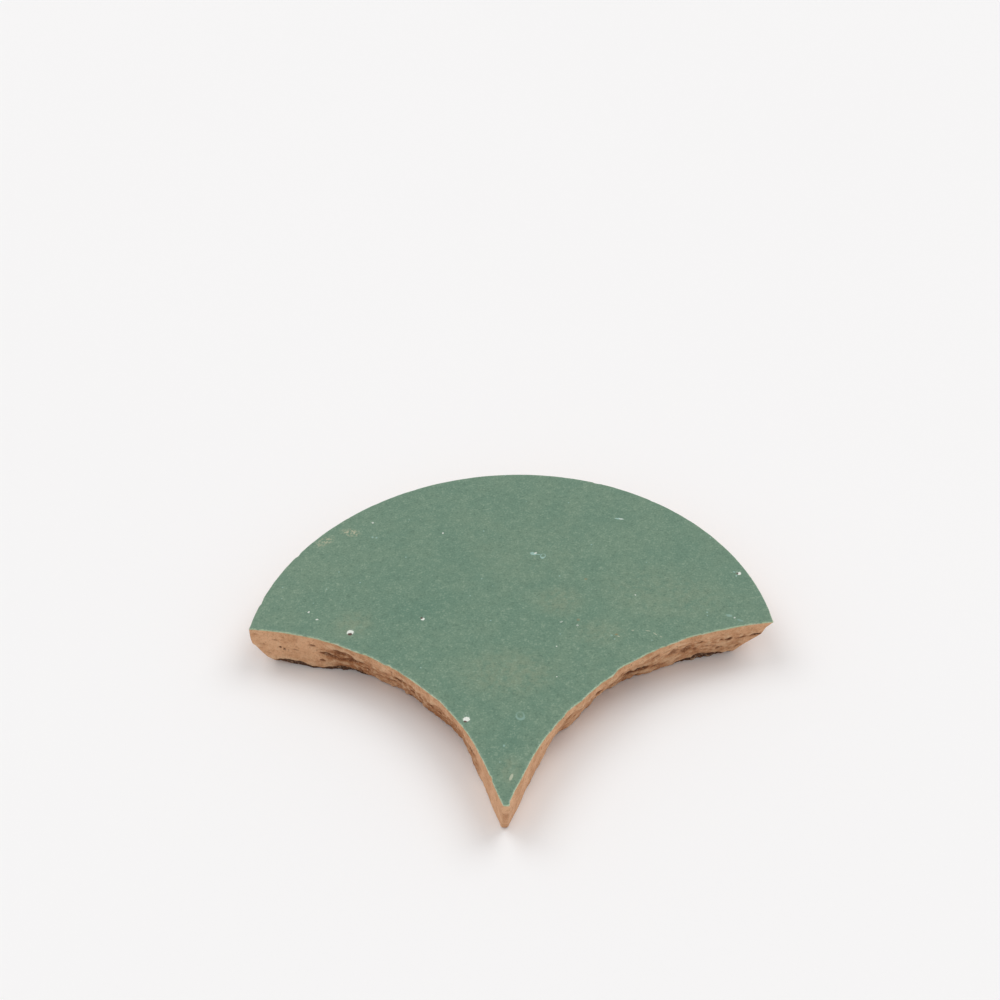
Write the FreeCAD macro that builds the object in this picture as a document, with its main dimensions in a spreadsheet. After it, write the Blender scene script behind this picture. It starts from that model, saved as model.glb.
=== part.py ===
"""Fish scale tile: one hand-cut unit of glazed terracotta, lying flat with its glazed face up.

The outline is a round crown and two hollow flanks that run down from the corners and straighten
out to a narrow, blunt tip. Under a thin straight arris the sides are cut back, so that glazed
faces can meet edge to edge, and the cutter's chisel has knocked scoops out of the lower edge all
round.

Frame: millimetres, +Z up. The origin is on the back of the tile, under the middle of the
glazed face's box. The crown points to +Y and the tip to -Y.
"""

import FreeCAD, Part
import math
import os
import Sketcher

TILE = "fish_scale_tile"
SHEET = "Sizes"

# Driving dimensions: alias, value in millimetres or degrees, what it measures
SIZES = (
    ("face_width", 120.0, "glazed face, corner to corner"),
    ("face_length", 105.0, "glazed face, top of the crown to the tip"),
    ("crown_rise", 52.8, "top of the crown above the line through the corners"),
    ("tip_width", 1.4, "blunt end of the tip"),
    ("tip_angle", 42.0, "between the two straight sides of the tip"),
    ("tip_side", 11.0, "straight side of the tip"),
    ("thickness", 11.0, "back to glazed face"),
    ("arris_depth", 2.0, "straight band under the glazed face"),
    ("crown_undercut", 26.0, "slope of the crown's side from upright"),
    ("right_undercut", 10.0, "slope of the right flank's side from upright"),
    ("left_undercut", 7.0, "slope of the left flank's side from upright"),
    ("tip_undercut", 17.0, "slope of the tip's end from upright"),
    ("scoop_tilt", 50.0, "how far below level a chisel scoop is struck"),
)

# The outline's edges in their order in a sketch, and the undercut under each
CROWN, RIGHT_FLANK, RIGHT_SIDE, TIP, LEFT_SIDE, LEFT_FLANK = range(6)
UNDERCUTS = ("crown_undercut", "right_undercut", "right_undercut",
             "tip_undercut", "left_undercut", "left_undercut")

# Sketcher's numbers for the points of an edge, its own axes and the first edge from outside
START, END, CENTRE = range(1, 4)
X_AXIS, Y_AXIS, FIRST_OUTSIDE = range(-1, -4, -1)

# Where the middle of a flank is put before its sketch is solved, between the origin and the
# sum of the flank's two ends
ROUGH_HOLLOW = 0.38

# Chisel scoops: name, edge, place along it (0 to 1, in the edge's own direction), radius, depth
SCOOPS = (
    ("right_corner_scoop", RIGHT_FLANK, 0.18, 14.0, 2.4),
    ("right_middle_scoop", RIGHT_FLANK, 0.56, 24.0, 2.0),
    ("right_tip_scoop", RIGHT_FLANK, 0.82, 10.0, 1.7),
    ("left_corner_scoop", LEFT_FLANK, 0.81, 19.0, 1.6),
    ("left_middle_scoop", LEFT_FLANK, 0.51, 26.0, 2.2),
    ("left_tip_scoop", LEFT_FLANK, 0.28, 12.0, 1.3),
    ("crown_right_scoop", CROWN, 0.14, 16.0, 2.2),
    ("crown_upper_right_scoop", CROWN, 0.34, 22.0, 2.8),
    ("crown_top_scoop", CROWN, 0.53, 15.0, 2.0),
    ("crown_upper_left_scoop", CROWN, 0.70, 20.0, 2.6),
    ("crown_left_scoop", CROWN, 0.88, 14.0, 2.2),
)


def size(name):
    """The expression that reads one cell of the sheet."""
    return f"{SHEET}.{name}"


def drop():
    """The expression for the height of the cut-back side, under the arris."""
    return f"({size('thickness')} - {size('arris_depth')})"


def inset(edge):
    """The expression for how far one edge of the outline is cut back at the tile's back."""
    return f"{drop()} * tan({size(UNDERCUTS[edge])} * 1 deg)"


def make_sheet(doc):
    """Writes the driving dimensions to a spreadsheet, each under its own alias."""
    sheet = doc.addObject("Spreadsheet::Sheet", SHEET)
    rows = list(SIZES)
    for name, _, along, radius, depth in SCOOPS:
        rows.append((f"{name}_along", along, "place along its edge"))
        rows.append((f"{name}_radius", radius, "radius of the scoop"))
        rows.append((f"{name}_depth", depth, "depth of the scoop at the lower edge"))
    for row, (alias, value, meaning) in enumerate(rows, start=1):
        sheet.set(f"A{row}", meaning)
        sheet.set(f"B{row}", str(value))
        sheet.setAlias(f"B{row}", alias)
    doc.recompute()
    return sheet


def tie(sketch, *facts):
    """Adds one constraint and returns its number."""
    return sketch.addConstraint(Sketcher.Constraint(*facts))


def tie_to(sketch, expression, *facts):
    """Adds one dimension that follows an expression."""
    sketch.setExpression(f"Constraints[{tie(sketch, *facts)}]", expression)


def measure(sketch, name, *facts):
    """Adds a dimension that only reports a size of the solved sketch, under a name."""
    number = tie(sketch, *facts)
    sketch.setDriving(number, False)
    sketch.renameConstraint(number, name)


def start_outline(body, name, sheet):
    """Starts a sketch on the plane of the back, with the closed outline roughly in place."""
    sketch = body.newObject("Sketcher::SketchObject", name)
    plane = next(f for f in body.Origin.OriginFeatures if f.Role == "XY_Plane")
    sketch.AttachmentSupport = [(plane, "")]
    sketch.MapMode = "FlatFace"
    half_width, half_length = sheet.face_width / 2, sheet.face_length / 2
    corner = FreeCAD.Vector(half_width, half_length - sheet.crown_rise, 0)
    tip = FreeCAD.Vector(sheet.tip_width / 2, -half_length, 0)
    half_angle = math.radians(sheet.tip_angle / 2)
    bend = tip + FreeCAD.Vector(math.sin(half_angle), math.cos(half_angle), 0) * sheet.tip_side
    hollow = (corner + bend) * ROUGH_HOLLOW
    top = FreeCAD.Vector(0, half_length, 0)
    left_corner, left_tip, left_bend, left_hollow = (
        FreeCAD.Vector(-p.x, p.y, 0) for p in (corner, tip, bend, hollow))
    sketch.addGeometry(Part.Arc(corner, top, left_corner))
    sketch.addGeometry(Part.Arc(corner, hollow, bend))
    sketch.addGeometry(Part.LineSegment(tip, bend))
    sketch.addGeometry(Part.LineSegment(left_tip, tip))
    sketch.addGeometry(Part.LineSegment(left_tip, left_bend))
    sketch.addGeometry(Part.Arc(left_bend, left_hollow, left_corner))
    tie(sketch, "Coincident", CROWN, START, RIGHT_FLANK, START)
    tie(sketch, "Tangent", RIGHT_FLANK, END, RIGHT_SIDE, END)
    tie(sketch, "Coincident", RIGHT_SIDE, START, TIP, END)
    tie(sketch, "Coincident", TIP, START, LEFT_SIDE, START)
    tie(sketch, "Tangent", LEFT_SIDE, END, LEFT_FLANK, START)
    tie(sketch, "Coincident", LEFT_FLANK, END, CROWN, END)
    return sketch


def make_face_outline(body, sheet):
    """Sketches the glazed face's outline, at the foot of the arris."""
    sketch = start_outline(body, "face_outline", sheet)
    sketch.setExpression(".AttachmentOffset.Base.z", drop())
    half_length = sheet.face_length / 2
    top = FreeCAD.Vector(0, half_length, 0)
    crown_top = sketch.addGeometry(Part.Point(top), True)
    tie(sketch, "PointOnObject", crown_top, START, Y_AXIS)
    tie(sketch, "PointOnObject", crown_top, START, CROWN)
    tie(sketch, "PointOnObject", CROWN, CENTRE, Y_AXIS)
    tie(sketch, "Horizontal", CROWN, START, CROWN, END)
    tie(sketch, "Symmetric", TIP, START, TIP, END, Y_AXIS)
    tie(sketch, "Equal", RIGHT_FLANK, LEFT_FLANK)
    tie(sketch, "Equal", RIGHT_SIDE, LEFT_SIDE)
    half = f"{size('face_length')} / 2"
    tie_to(sketch, size("face_width"), "DistanceX", CROWN, END, CROWN, START, sheet.face_width)
    tie_to(sketch, size("tip_width"), "DistanceX", TIP, START, TIP, END, sheet.tip_width)
    tie_to(sketch, half, "DistanceY", X_AXIS, START, crown_top, START, half_length)
    tie_to(sketch, half, "DistanceY", TIP, END, X_AXIS, START, half_length)
    tie_to(sketch, size("crown_rise"), "DistanceY", CROWN, START, crown_top, START, sheet.crown_rise)
    tie_to(sketch, size("tip_side"), "Distance", RIGHT_SIDE, sheet.tip_side)
    upright = FreeCAD.Units.Quantity("90 deg")
    tie_to(sketch, f"90 deg - {size('tip_angle')} / 2 * 1 deg", "Angle", RIGHT_SIDE, upright)
    measure(sketch, "crown_radius", "Radius", CROWN, half_length)
    measure(sketch, "flank_radius", "Radius", RIGHT_FLANK, half_length)
    body.Document.recompute()
    return sketch


def edge_name(sketch, edge):
    """Finds an edge of a solved sketch among the edges of its shape, by its middle."""
    curve = sketch.Geometry[edge]
    middle = sketch.Placement.multVec(curve.value((curve.FirstParameter + curve.LastParameter) / 2))
    distances = [e.distToShape(Part.Vertex(middle))[0] for e in sketch.Shape.Edges]
    return f"Edge{distances.index(min(distances)) + 1}"


def make_back_outline(body, sheet, face_outline):
    """Sketches the back's outline: each edge follows the face's, cut back by its undercut."""
    sketch = start_outline(body, "back_outline", sheet)
    for edge in (CROWN, RIGHT_FLANK, RIGHT_SIDE, TIP, LEFT_SIDE, LEFT_FLANK):
        sketch.addExternal(face_outline.Name, edge_name(face_outline, edge))
    for arc, radius, sign in ((CROWN, "crown_radius", "-"), (RIGHT_FLANK, "flank_radius", "+"),
                              (LEFT_FLANK, "flank_radius", "+")):
        tie(sketch, "Coincident", arc, CENTRE, FIRST_OUTSIDE - arc, CENTRE)
        cut_back = f"{face_outline.Name}.Constraints.{radius} {sign} {inset(arc)} * 1 mm"
        tie_to(sketch, cut_back, "Radius", arc, sheet.face_length / 2)
    for side in (RIGHT_SIDE, LEFT_SIDE):
        tie(sketch, "Parallel", side, FIRST_OUTSIDE - side)
    tie(sketch, "Horizontal", TIP)
    tie_to(sketch, inset(TIP), "DistanceY", FIRST_OUTSIDE - TIP, END, TIP, END, sheet.arris_depth)
    body.Document.recompute()
    return sketch


def make_biscuit(body, face_outline, back_outline):
    """Lofts the clay under the arris from the face's outline straight down to the back's."""
    biscuit = body.newObject("PartDesign::AdditiveLoft", "biscuit")
    biscuit.Profile = face_outline
    biscuit.Sections = [back_outline]
    biscuit.Ruled = True
    body.Document.recompute()


def make_arris(body, face_outline):
    """Pads the straight band up from the same outline to the glazed face."""
    arris = body.newObject("PartDesign::Pad", "arris")
    arris.Profile = face_outline
    arris.setExpression("Length", size("arris_depth"))
    body.Document.recompute()


def cut_scoops(body, face_outline):
    """Knocks a round scoop out of the lower edge at each chosen place along the outline.

    A scoop is a ball on the outline's own frame at that place. Its centre lies outside and below
    the lower edge, along a line struck scoop_tilt below level, so that it bites in by its depth.
    """
    for name, edge, _, _, _ in SCOOPS:
        away = f"({size(name + '_radius')} - {size(name + '_depth')})"
        out = f"{away} * cos({size('scoop_tilt')} * 1 deg) - {inset(edge)}"
        down = f"{away} * sin({size('scoop_tilt')} * 1 deg) + {drop()}"
        # On the arc's frame Y points to its centre, which is inside the crown and outside a flank
        towards_centre = f"-({out})" if edge == CROWN else out
        uncut = body.Tip.Shape.Volume
        scoop = body.newObject("PartDesign::SubtractiveSphere", name)
        scoop.AttachmentSupport = [(face_outline, edge_name(face_outline, edge))]
        scoop.MapMode = "FrenetTN"
        scoop.setExpression("MapPathParameter", size(name + "_along"))
        scoop.setExpression("Radius", size(name + "_radius"))
        scoop.setExpression(".AttachmentOffset.Base.y", towards_centre)
        scoop.setExpression(".AttachmentOffset.Base.z", f"-({down})")
        body.Document.recompute()
        if scoop.Shape.Volume >= uncut:
            raise RuntimeError(f"{name} misses the tile")


def check(doc, body):
    """Stops if an object failed to build, or if the tile isn't one sound solid."""
    failed = [o.Name for o in doc.Objects if "Invalid" in o.State or "Error" in o.State]
    if failed:
        raise RuntimeError(f"these objects failed: {failed}")
    shape = body.Shape
    if shape.isNull() or not shape.isValid() or len(shape.Solids) != 1:
        raise RuntimeError("the tile isn't one valid solid")


def main():
    doc = FreeCAD.newDocument(TILE)
    sheet = make_sheet(doc)
    body = doc.addObject("PartDesign::Body", "tile")
    body.Label = TILE
    face_outline = make_face_outline(body, sheet)
    back_outline = make_back_outline(body, sheet, face_outline)
    make_biscuit(body, face_outline, back_outline)
    make_arris(body, face_outline)
    cut_scoops(body, face_outline)
    doc.recompute()
    check(doc, body)
    os.makedirs("parts", exist_ok=True)
    body.Shape.exportStep(f"parts/{body.Label}.step")
    box = body.Shape.optimalBoundingBox(False, False)
    print("box", [round(v, 3) for v in (box.XMin, box.XMax, box.YMin, box.YMax, box.ZMin, box.ZMax)])
    print("volume", round(body.Shape.Volume, 1), "faces", len(body.Shape.Faces))


main()
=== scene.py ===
"""Looks of one fish scale tile: sea-green glaze on hand-cut terracotta, lying on its back.

The tile is one closed skin. A profile is carried round the outline for the rim and the chiselled
clay side, and two sheets ruled from the crown to the flanks close it above and below. Sizes are in
millimetres in the tile's own frame, with +Z out of the glazed face and the tip towards -Y. They
become metres where a mesh is written.
"""
import logging
from dataclasses import dataclass
from enum import Enum, IntEnum
from itertools import product
from typing import Union

import bpy
import numpy as np
from mathutils import Matrix, Vector


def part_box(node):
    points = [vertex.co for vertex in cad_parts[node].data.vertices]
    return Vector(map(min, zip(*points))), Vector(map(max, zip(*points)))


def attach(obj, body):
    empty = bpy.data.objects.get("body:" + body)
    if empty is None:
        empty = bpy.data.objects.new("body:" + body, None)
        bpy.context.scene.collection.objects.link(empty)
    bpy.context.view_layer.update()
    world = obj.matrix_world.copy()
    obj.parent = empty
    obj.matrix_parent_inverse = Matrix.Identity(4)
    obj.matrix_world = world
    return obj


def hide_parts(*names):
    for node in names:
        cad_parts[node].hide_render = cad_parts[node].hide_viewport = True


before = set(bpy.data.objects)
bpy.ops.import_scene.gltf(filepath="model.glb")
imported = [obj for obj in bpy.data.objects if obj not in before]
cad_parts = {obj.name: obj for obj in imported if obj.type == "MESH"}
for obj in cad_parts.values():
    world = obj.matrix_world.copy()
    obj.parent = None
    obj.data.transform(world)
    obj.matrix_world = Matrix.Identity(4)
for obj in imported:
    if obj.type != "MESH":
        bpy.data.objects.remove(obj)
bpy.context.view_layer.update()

LOG = logging.getLogger("fish_scale_tile")
NODE = "fish_scale_tile"
MM = 0.001  # metres in a millimetre
MIRROR = np.array([-1.0, 1.0])  # turns a right-hand point into its left-hand twin
CLAY_SEED = 11
RIM_SEED = 23
FACE_SEED = 37
BACK_SEED = 41
LEVEL = np.array([1.0, 1.0, 0.0])  # drops a place to the floor
# Shifts that keep two uses of the same noise, or of the same specks, apart
LAYER_SHIFT = 17.3
FLAKE_SHIFT = 40.0
CHIP_SHIFT = 60.0
SPECK_SHIFT = (7.0, 5.0, 0.0)
GRIT_SHIFT = (9.0, 4.0, 2.0)
FLATTEN = 1e4  # a scale in depth so wide that height doesn't matter
MID_NOISE = (0.5, 0.5, 0.5)  # the middle of coloured noise
# The noise's mixing of bits: a factor for each axis, steps for seed and channel, shifts with factors
AXIS_FACTORS = (0x9E3779B1, 0x85EBCA77, 0xC2B2AE3D)
SEED_STEP, CHANNEL_STEP = 7919, 104729
MIX_STEPS = ((15, 0x2C1B3C6D), (12, 0x297A2D39))
LAST_SHIFT = 15
WORD = 2 ** 32


def srgb(red: int, green: int, blue: int) -> tuple[float, float, float, float]:
    """Turns a screen colour of 0 to 255 into the linear colour that a shader takes.

    Args:
        red, green, blue: the screen values.
    Returns:
        The linear colour with a full alpha.
    """
    screen = np.array([red, green, blue]) / 255
    linear = np.where(screen <= 0.04045, screen / 12.92, ((screen + 0.055) / 1.055) ** 2.4)
    return (*(float(part) for part in linear), 1.0)


def ease(value: np.ndarray, low: float, high: float) -> np.ndarray:
    """Rises smoothly from 0 at low to 1 at high: 3 t squared less 2 t cubed.

    Args:
        value: the numbers to ease.
        low, high: where the rise starts and ends.
    Returns:
        Numbers from 0 to 1, of the same shape.
    """
    part = np.clip((value - low) / (high - low), 0, 1)
    return part * part * (3 - 2 * part)


class Edge(IntEnum):
    """The outline's edges, clockwise from the left corner as seen from above."""
    CROWN = 0
    RIGHT_FLANK = 1
    TIP = 2
    LEFT_FLANK = 3


class Blemish(Enum):
    """Small faults that the fire and handling left in the glaze."""
    # The dark clay at a crater's bottom and on a pinhole's dark side is painted shade over the bare
    # clay
    CRATER = "a burst bubble with white walls and bare clay at its bottom"
    PINHOLE = "a small burst bubble, white with a dark side"
    WHITE_DOT = "a small closed bubble"
    PALE_MARK = "a milky bluish fleck"
    MILKY_RING = "a milky ring, thickest on the side away from its turn"
    SCRATCH = "a short cream line"
    RUB = "a pale scuff"
    IRON_FLECK = "a rusty speck"
    # Some of these warm patches are thin glaze, and the wide one at the right paints a lighter sheen
    # on the glaze
    THIN_GLAZE_AND_SHEEN = "a patch where thin glaze lets the clay warm it"
    DEEP_CLOUD = "a patch of thicker, greener glaze"


@dataclass(frozen=True)
class GlazeMark:
    """One blemish on the glazed face: its kind, place, half sizes, turn in degrees and strength.

    The hole of a crater or pinhole lies off its middle, in the direction of its turn.
    """
    kind: Blemish
    x: float
    y: float
    half_length: float
    half_width: float
    turn: float = 0.0
    strength: float = 1.0

    def away(self, points: np.ndarray) -> np.ndarray:
        """How far points lie from the mark's middle, in units of its turned ellipse.

        Args:
            points: places, (..., 3).
        Returns:
            Distances, (...), 1 on the ellipse.
        """
        cosine, sine = np.cos(np.radians(self.turn)), np.sin(np.radians(self.turn))
        east, north = points[..., 0] - self.x, points[..., 1] - self.y
        return np.hypot((east * cosine + north * sine) / self.half_length,
                        (north * cosine - east * sine) / self.half_width)


@dataclass(frozen=True)
class ChiselMark:
    """One dent, lump, pit or crack in the clay side.

    It is an ellipse on the wall: its depth falls from the middle to the rim over the soft share of
    the way, and it climbs by slope along the edge. A negative depth is a lump. Its stain number
    darkens the clay in it, partly the clay's own brown and partly painted shade in dents, pits and
    cracks.
    """
    edge: Edge
    along: float
    height: float
    half_length: float
    half_height: float
    depth: float
    soft: float = 1.0
    stain_and_shade: float = 0.0
    slope: float = 0.0

    def reach(self, path: "RimPath", ways: np.ndarray, heights: np.ndarray) -> np.ndarray:
        """How much of the mark each point of the wall gets.

        With q the distance from the middle in units of the ellipse, it is 1 - q eased over soft.

        Args:
            path: the columns round the outline.
            ways: each point's way along its own edge, (rows, columns).
            heights: each point's height above the floor, (rows, columns).
        Returns:
            Shares from 0 to 1, rows by columns.
        """
        aside = ways - self.along * path.lengths[self.edge]
        rise = heights - self.height - self.slope * aside
        away = np.hypot(aside / self.half_length, rise / self.half_height)
        return ease(1 - away, 0.0, self.soft) * (path.edge == self.edge)


@dataclass(frozen=True)
class EdgeWork:
    """How an edge was worked at one place along it.

    The wall is cut back more than the plain undercut by cut_back where it ends in a lip. The lip
    stands above the floor by the next number, with a recess under it that is darkened as painted
    shade. The clay there is as brown and as rough as the last two numbers say, from 0 to 1.
    """
    along: float
    cut_back: float
    lip: float
    brown: float
    rough: float


# Each edge's work: share of the way along it, cut_back, lip, brown, rough
EDGE_WORK = {edge: tuple(EdgeWork(*row) for row in rows) for edge, rows in {
    Edge.CROWN: (
        (0.000, 0.0, 1.2, 0.10, 0.30), (0.060, 0.0, 0.2, 0.40, 0.80), (0.940, 0.0, 0.2, 0.40, 0.80),
        (1.000, 0.0, 1.2, 0.35, 0.60)),
    Edge.RIGHT_FLANK: (
        (0.000, 0.1, 1.2, 0.35, 0.70), (0.103, 0.1, 1.2, 0.40, 1.00), (0.135, 0.4, 1.4, 0.45, 1.10),
        (0.168, 0.8, 2.0, 0.50, 1.15), (0.190, 0.8, 2.6, 0.50, 1.15), (0.219, 1.2, 2.3, 0.45, 1.10),
        (0.240, 1.6, 1.0, 0.40, 1.00), (0.280, 1.4, 0.4, 0.40, 0.95), (0.330, 2.0, 0.3, 0.50, 1.00),
        (0.371, 2.6, 0.3, 0.65, 1.00), (0.408, 3.1, 0.3, 0.70, 1.00), (0.445, 3.3, 0.3, 0.60, 1.00),
        (0.478, 3.3, 0.3, 0.60, 1.00), (0.521, 2.5, 0.2, 0.45, 0.90), (0.554, 2.1, 0.2, 0.40, 0.80),
        (0.588, 1.7, 0.2, 0.40, 0.70), (0.614, 1.5, 0.2, 0.45, 0.70), (0.638, 2.2, 0.2, 0.55, 0.70),
        (0.679, 2.3, 0.2, 0.40, 0.60), (0.747, 1.1, 0.2, 0.25, 0.50), (0.818, 0.4, 0.2, 0.15, 0.30),
        (0.890, 0.1, 0.1, 0.12, 0.20), (0.985, 0.3, 0.1, 0.15, 0.15), (0.994, 0.3, 0.1, 0.40, 0.15),
        (1.000, 0.3, 0.1, 0.40, 0.15)),
    Edge.TIP: (
        (0.000, 0.0, 0.1, 0.40, 0.15), (1.000, 0.0, 0.1, 0.40, 0.15)),
    Edge.LEFT_FLANK: (
        (0.000, 0.3, 0.1, 0.40, 0.15), (0.012, 0.3, 0.1, 0.12, 0.15), (0.105, 0.3, 0.1, 0.10, 0.15),
        (0.179, 0.8, 0.2, 0.20, 0.30), (0.210, 1.0, 0.2, 0.50, 0.60), (0.239, 1.3, 0.2, 0.60, 0.80),
        (0.287, 2.1, 0.2, 0.60, 0.80), (0.339, 3.2, 0.2, 0.80, 0.80), (0.380, 3.3, 0.2, 0.85, 0.90),
        (0.415, 2.9, 0.2, 0.85, 1.00), (0.469, 2.9, 0.2, 0.90, 1.00), (0.508, 3.1, 0.2, 0.90, 1.00),
        (0.555, 3.5, 0.2, 0.70, 1.00), (0.589, 3.6, 0.2, 0.60, 0.90), (0.630, 3.0, 0.3, 0.60, 0.90),
        (0.669, 3.1, 0.5, 0.65, 0.90), (0.703, 2.8, 1.0, 0.95, 0.90), (0.731, 2.4, 1.6, 0.95, 0.90),
        (0.757, 1.7, 1.8, 0.90, 0.80), (0.784, 1.1, 1.4, 0.55, 0.70), (0.806, 0.7, 0.8, 0.35, 0.50),
        (0.833, 0.1, 1.4, 0.20, 0.40), (0.870, 0.1, 1.9, 0.08, 0.30),
        (0.925, -0.2, 2.0, 0.05, 0.30), (0.945, -0.3, 1.3, 0.05, 0.30),
        (1.000, -0.3, 1.2, 0.10, 0.30)),
}.items()}

# How far the glaze's rim lies inside the plain outline, at shares of the way along each flank
RIM_LINE = {
    Edge.RIGHT_FLANK: (
        (0, 0), (0.116, -0.1), (0.133, -0.2), (0.149, -0.05), (0.201, 0.02), (0.217, 0.24),
        (0.243, 0.34), (0.271, 0.12), (0.308, 0.18), (0.325, 0.36), (0.345, 0.23), (0.363, 0.37),
        (0.383, 0.18), (0.422, 0.28), (0.441, 0.44), (0.462, 0.37), (0.475, 0), (0.487, -0.32),
        (0.51, -0.19), (0.58, -0.25), (0.607, -0.42), (0.627, -0.17), (0.649, 0.04), (0.676, -0.07),
        (0.702, 0.11), (0.732, 0.04), (0.759, 0.22), (0.824, 0.28), (0.903, 0.31), (0.939, 0.44),
        (1, 0.4)),
    Edge.LEFT_FLANK: (
        (0, 0), (0.035, -0.05), (0.084, 0.06), (0.131, 0.14), (0.173, 0.15), (0.214, 0.33),
        (0.31, 0.45), (0.339, 0.42), (0.394, 0.57), (0.415, 0.34), (0.439, 0.28), (0.485, 0.23),
        (0.53, 0.25), (0.552, 0.4), (0.573, 0.22), (0.591, 0.06), (0.632, 0.19), (0.653, 0.24),
        (0.67, 0), (0.689, -0.12), (0.727, -0.08), (0.747, 0.07), (0.782, 0), (0.81, 0.11),
        (0.871, -0.05), (1, 0)),
}

# Each kind's marks: x, y, half length, half width and, where they matter, turn and strength
GLAZE_MARKS = tuple(GlazeMark(kind, *row) for kind, rows in {
    Blemish.CRATER: (
        (-36.5, -2.1, 0.95, 1.0, -90),),
    Blemish.PINHOLE: (
        (-20.1, 2.2, 0.55, 0.55, 130), (-9.1, -28.8, 0.85, 0.95, -105), (53.4, 15.6, 0.62, 0.6, 175)),
    # The dot at x 5.8, y 23.6 is a painted highlight on the milky fleck under it
    Blemish.WHITE_DOT: (
        (-46.6, 4.8, 0.3, 0.35), (-44.5, 2.4, 0.35, 0.3), (-16.6, 31.1, 0.25, 0.35),
        (51.3, 1.1, 0.24, 0.35, 0, 0.75), (29.0, 8.9, 0.24, 0.3, 0, 0.8),
        (-33.9, 35.3, 0.3, 0.4, 0, 0.7), (11.8, 0.5, 0.5, 0.3, 10, 0.45),
        (15.4, -0.7, 0.35, 0.35, 0, 0.45), (5.8, 23.6, 0.36, 0.3), (26.6, 35.2, 0.7, 0.24, -9, 0.7)),
    Blemish.PALE_MARK: (
        (5.3, 23.4, 0.95, 0.6, -12), (6.5, 23.0, 0.7, 0.16, -15), (50.1, 1.8, 0.9, 0.5, -25, 0.5),
        (52.5, 0.2, 0.9, 0.4, -35, 0.4), (-0.7, -36.3, 0.3, 0.4, 0, 0.6),
        (-33.6, 30.1, 0.35, 0.4, 0, 0.7), (-32.6, 29.9, 0.3, 0.35, 0, 0.6),
        (23.1, -4.0, 0.35, 0.4, 0, 0.4), (23.7, -5.1, 0.25, 0.35, 0, 0.5),
        (32.2, -5.7, 0.25, 0.3, 0, 0.4), (26.1, 35.3, 1.3, 0.3, -9),
        (52.4, 16.1, 0.4, 0.25, -20, 0.8), (52.8, 14.8, 0.3, 0.3, 0, 0.9)),
    Blemish.MILKY_RING: (
        (7.6, 22.5, 0.95, 0.7, 80), (2.7, -28.0, 1.4, 1.15, 100, 0.5)),
    Blemish.IRON_FLECK: (
        (24.3, -3.7, 0.45, 0.35, 0, 0.7), (17.6, 14.4, 0.45, 0.35, 0, 0.5),
        (15.7, 1.1, 0.4, 0.5, 0, 0.5)),
    Blemish.SCRATCH: (
        (24.7, -4.3, 0.35, 0.17, -35, 0.7), (31.4, -2.7, 0.7, 0.16, -12, 0.6),
        (33.0, -3.7, 0.8, 0.16, -45, 0.6), (34.3, -4.6, 0.4, 0.2, -40, 0.45),
        (28.0, -2.5, 0.4, 0.25, 0, 0.45), (0.9, -45.0, 1.15, 0.42, 72, 0.75)),
    Blemish.RUB: (
        (-39.2, 31.9, 3.2, 1.7, -15), (-45.0, 28.8, 3.4, 1.8, 35, 0.8)),
    # The wide patch at x 34, y 10 is a painted sheen that lightens the glaze there
    Blemish.THIN_GLAZE_AND_SHEEN: (
        (11.5, 7.5, 8.0, 7.0), (-36.0, 0.5, 7.0, 6.0, 20), (-0.5, -15.0, 15.0, 10.0),
        (34.0, 10.0, 20.0, 12.0, -10, 0.55), (20.5, -3.0, 9.0, 6.0, 0, 0.8), (0.5, -43.0, 3.5, 6.0)),
    Blemish.DEEP_CLOUD: (
        (-19.6, 6.0, 13.0, 7.0, 15), (1.0, -34.0, 4.0, 7.0)),
}.items() for row in rows)
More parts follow.
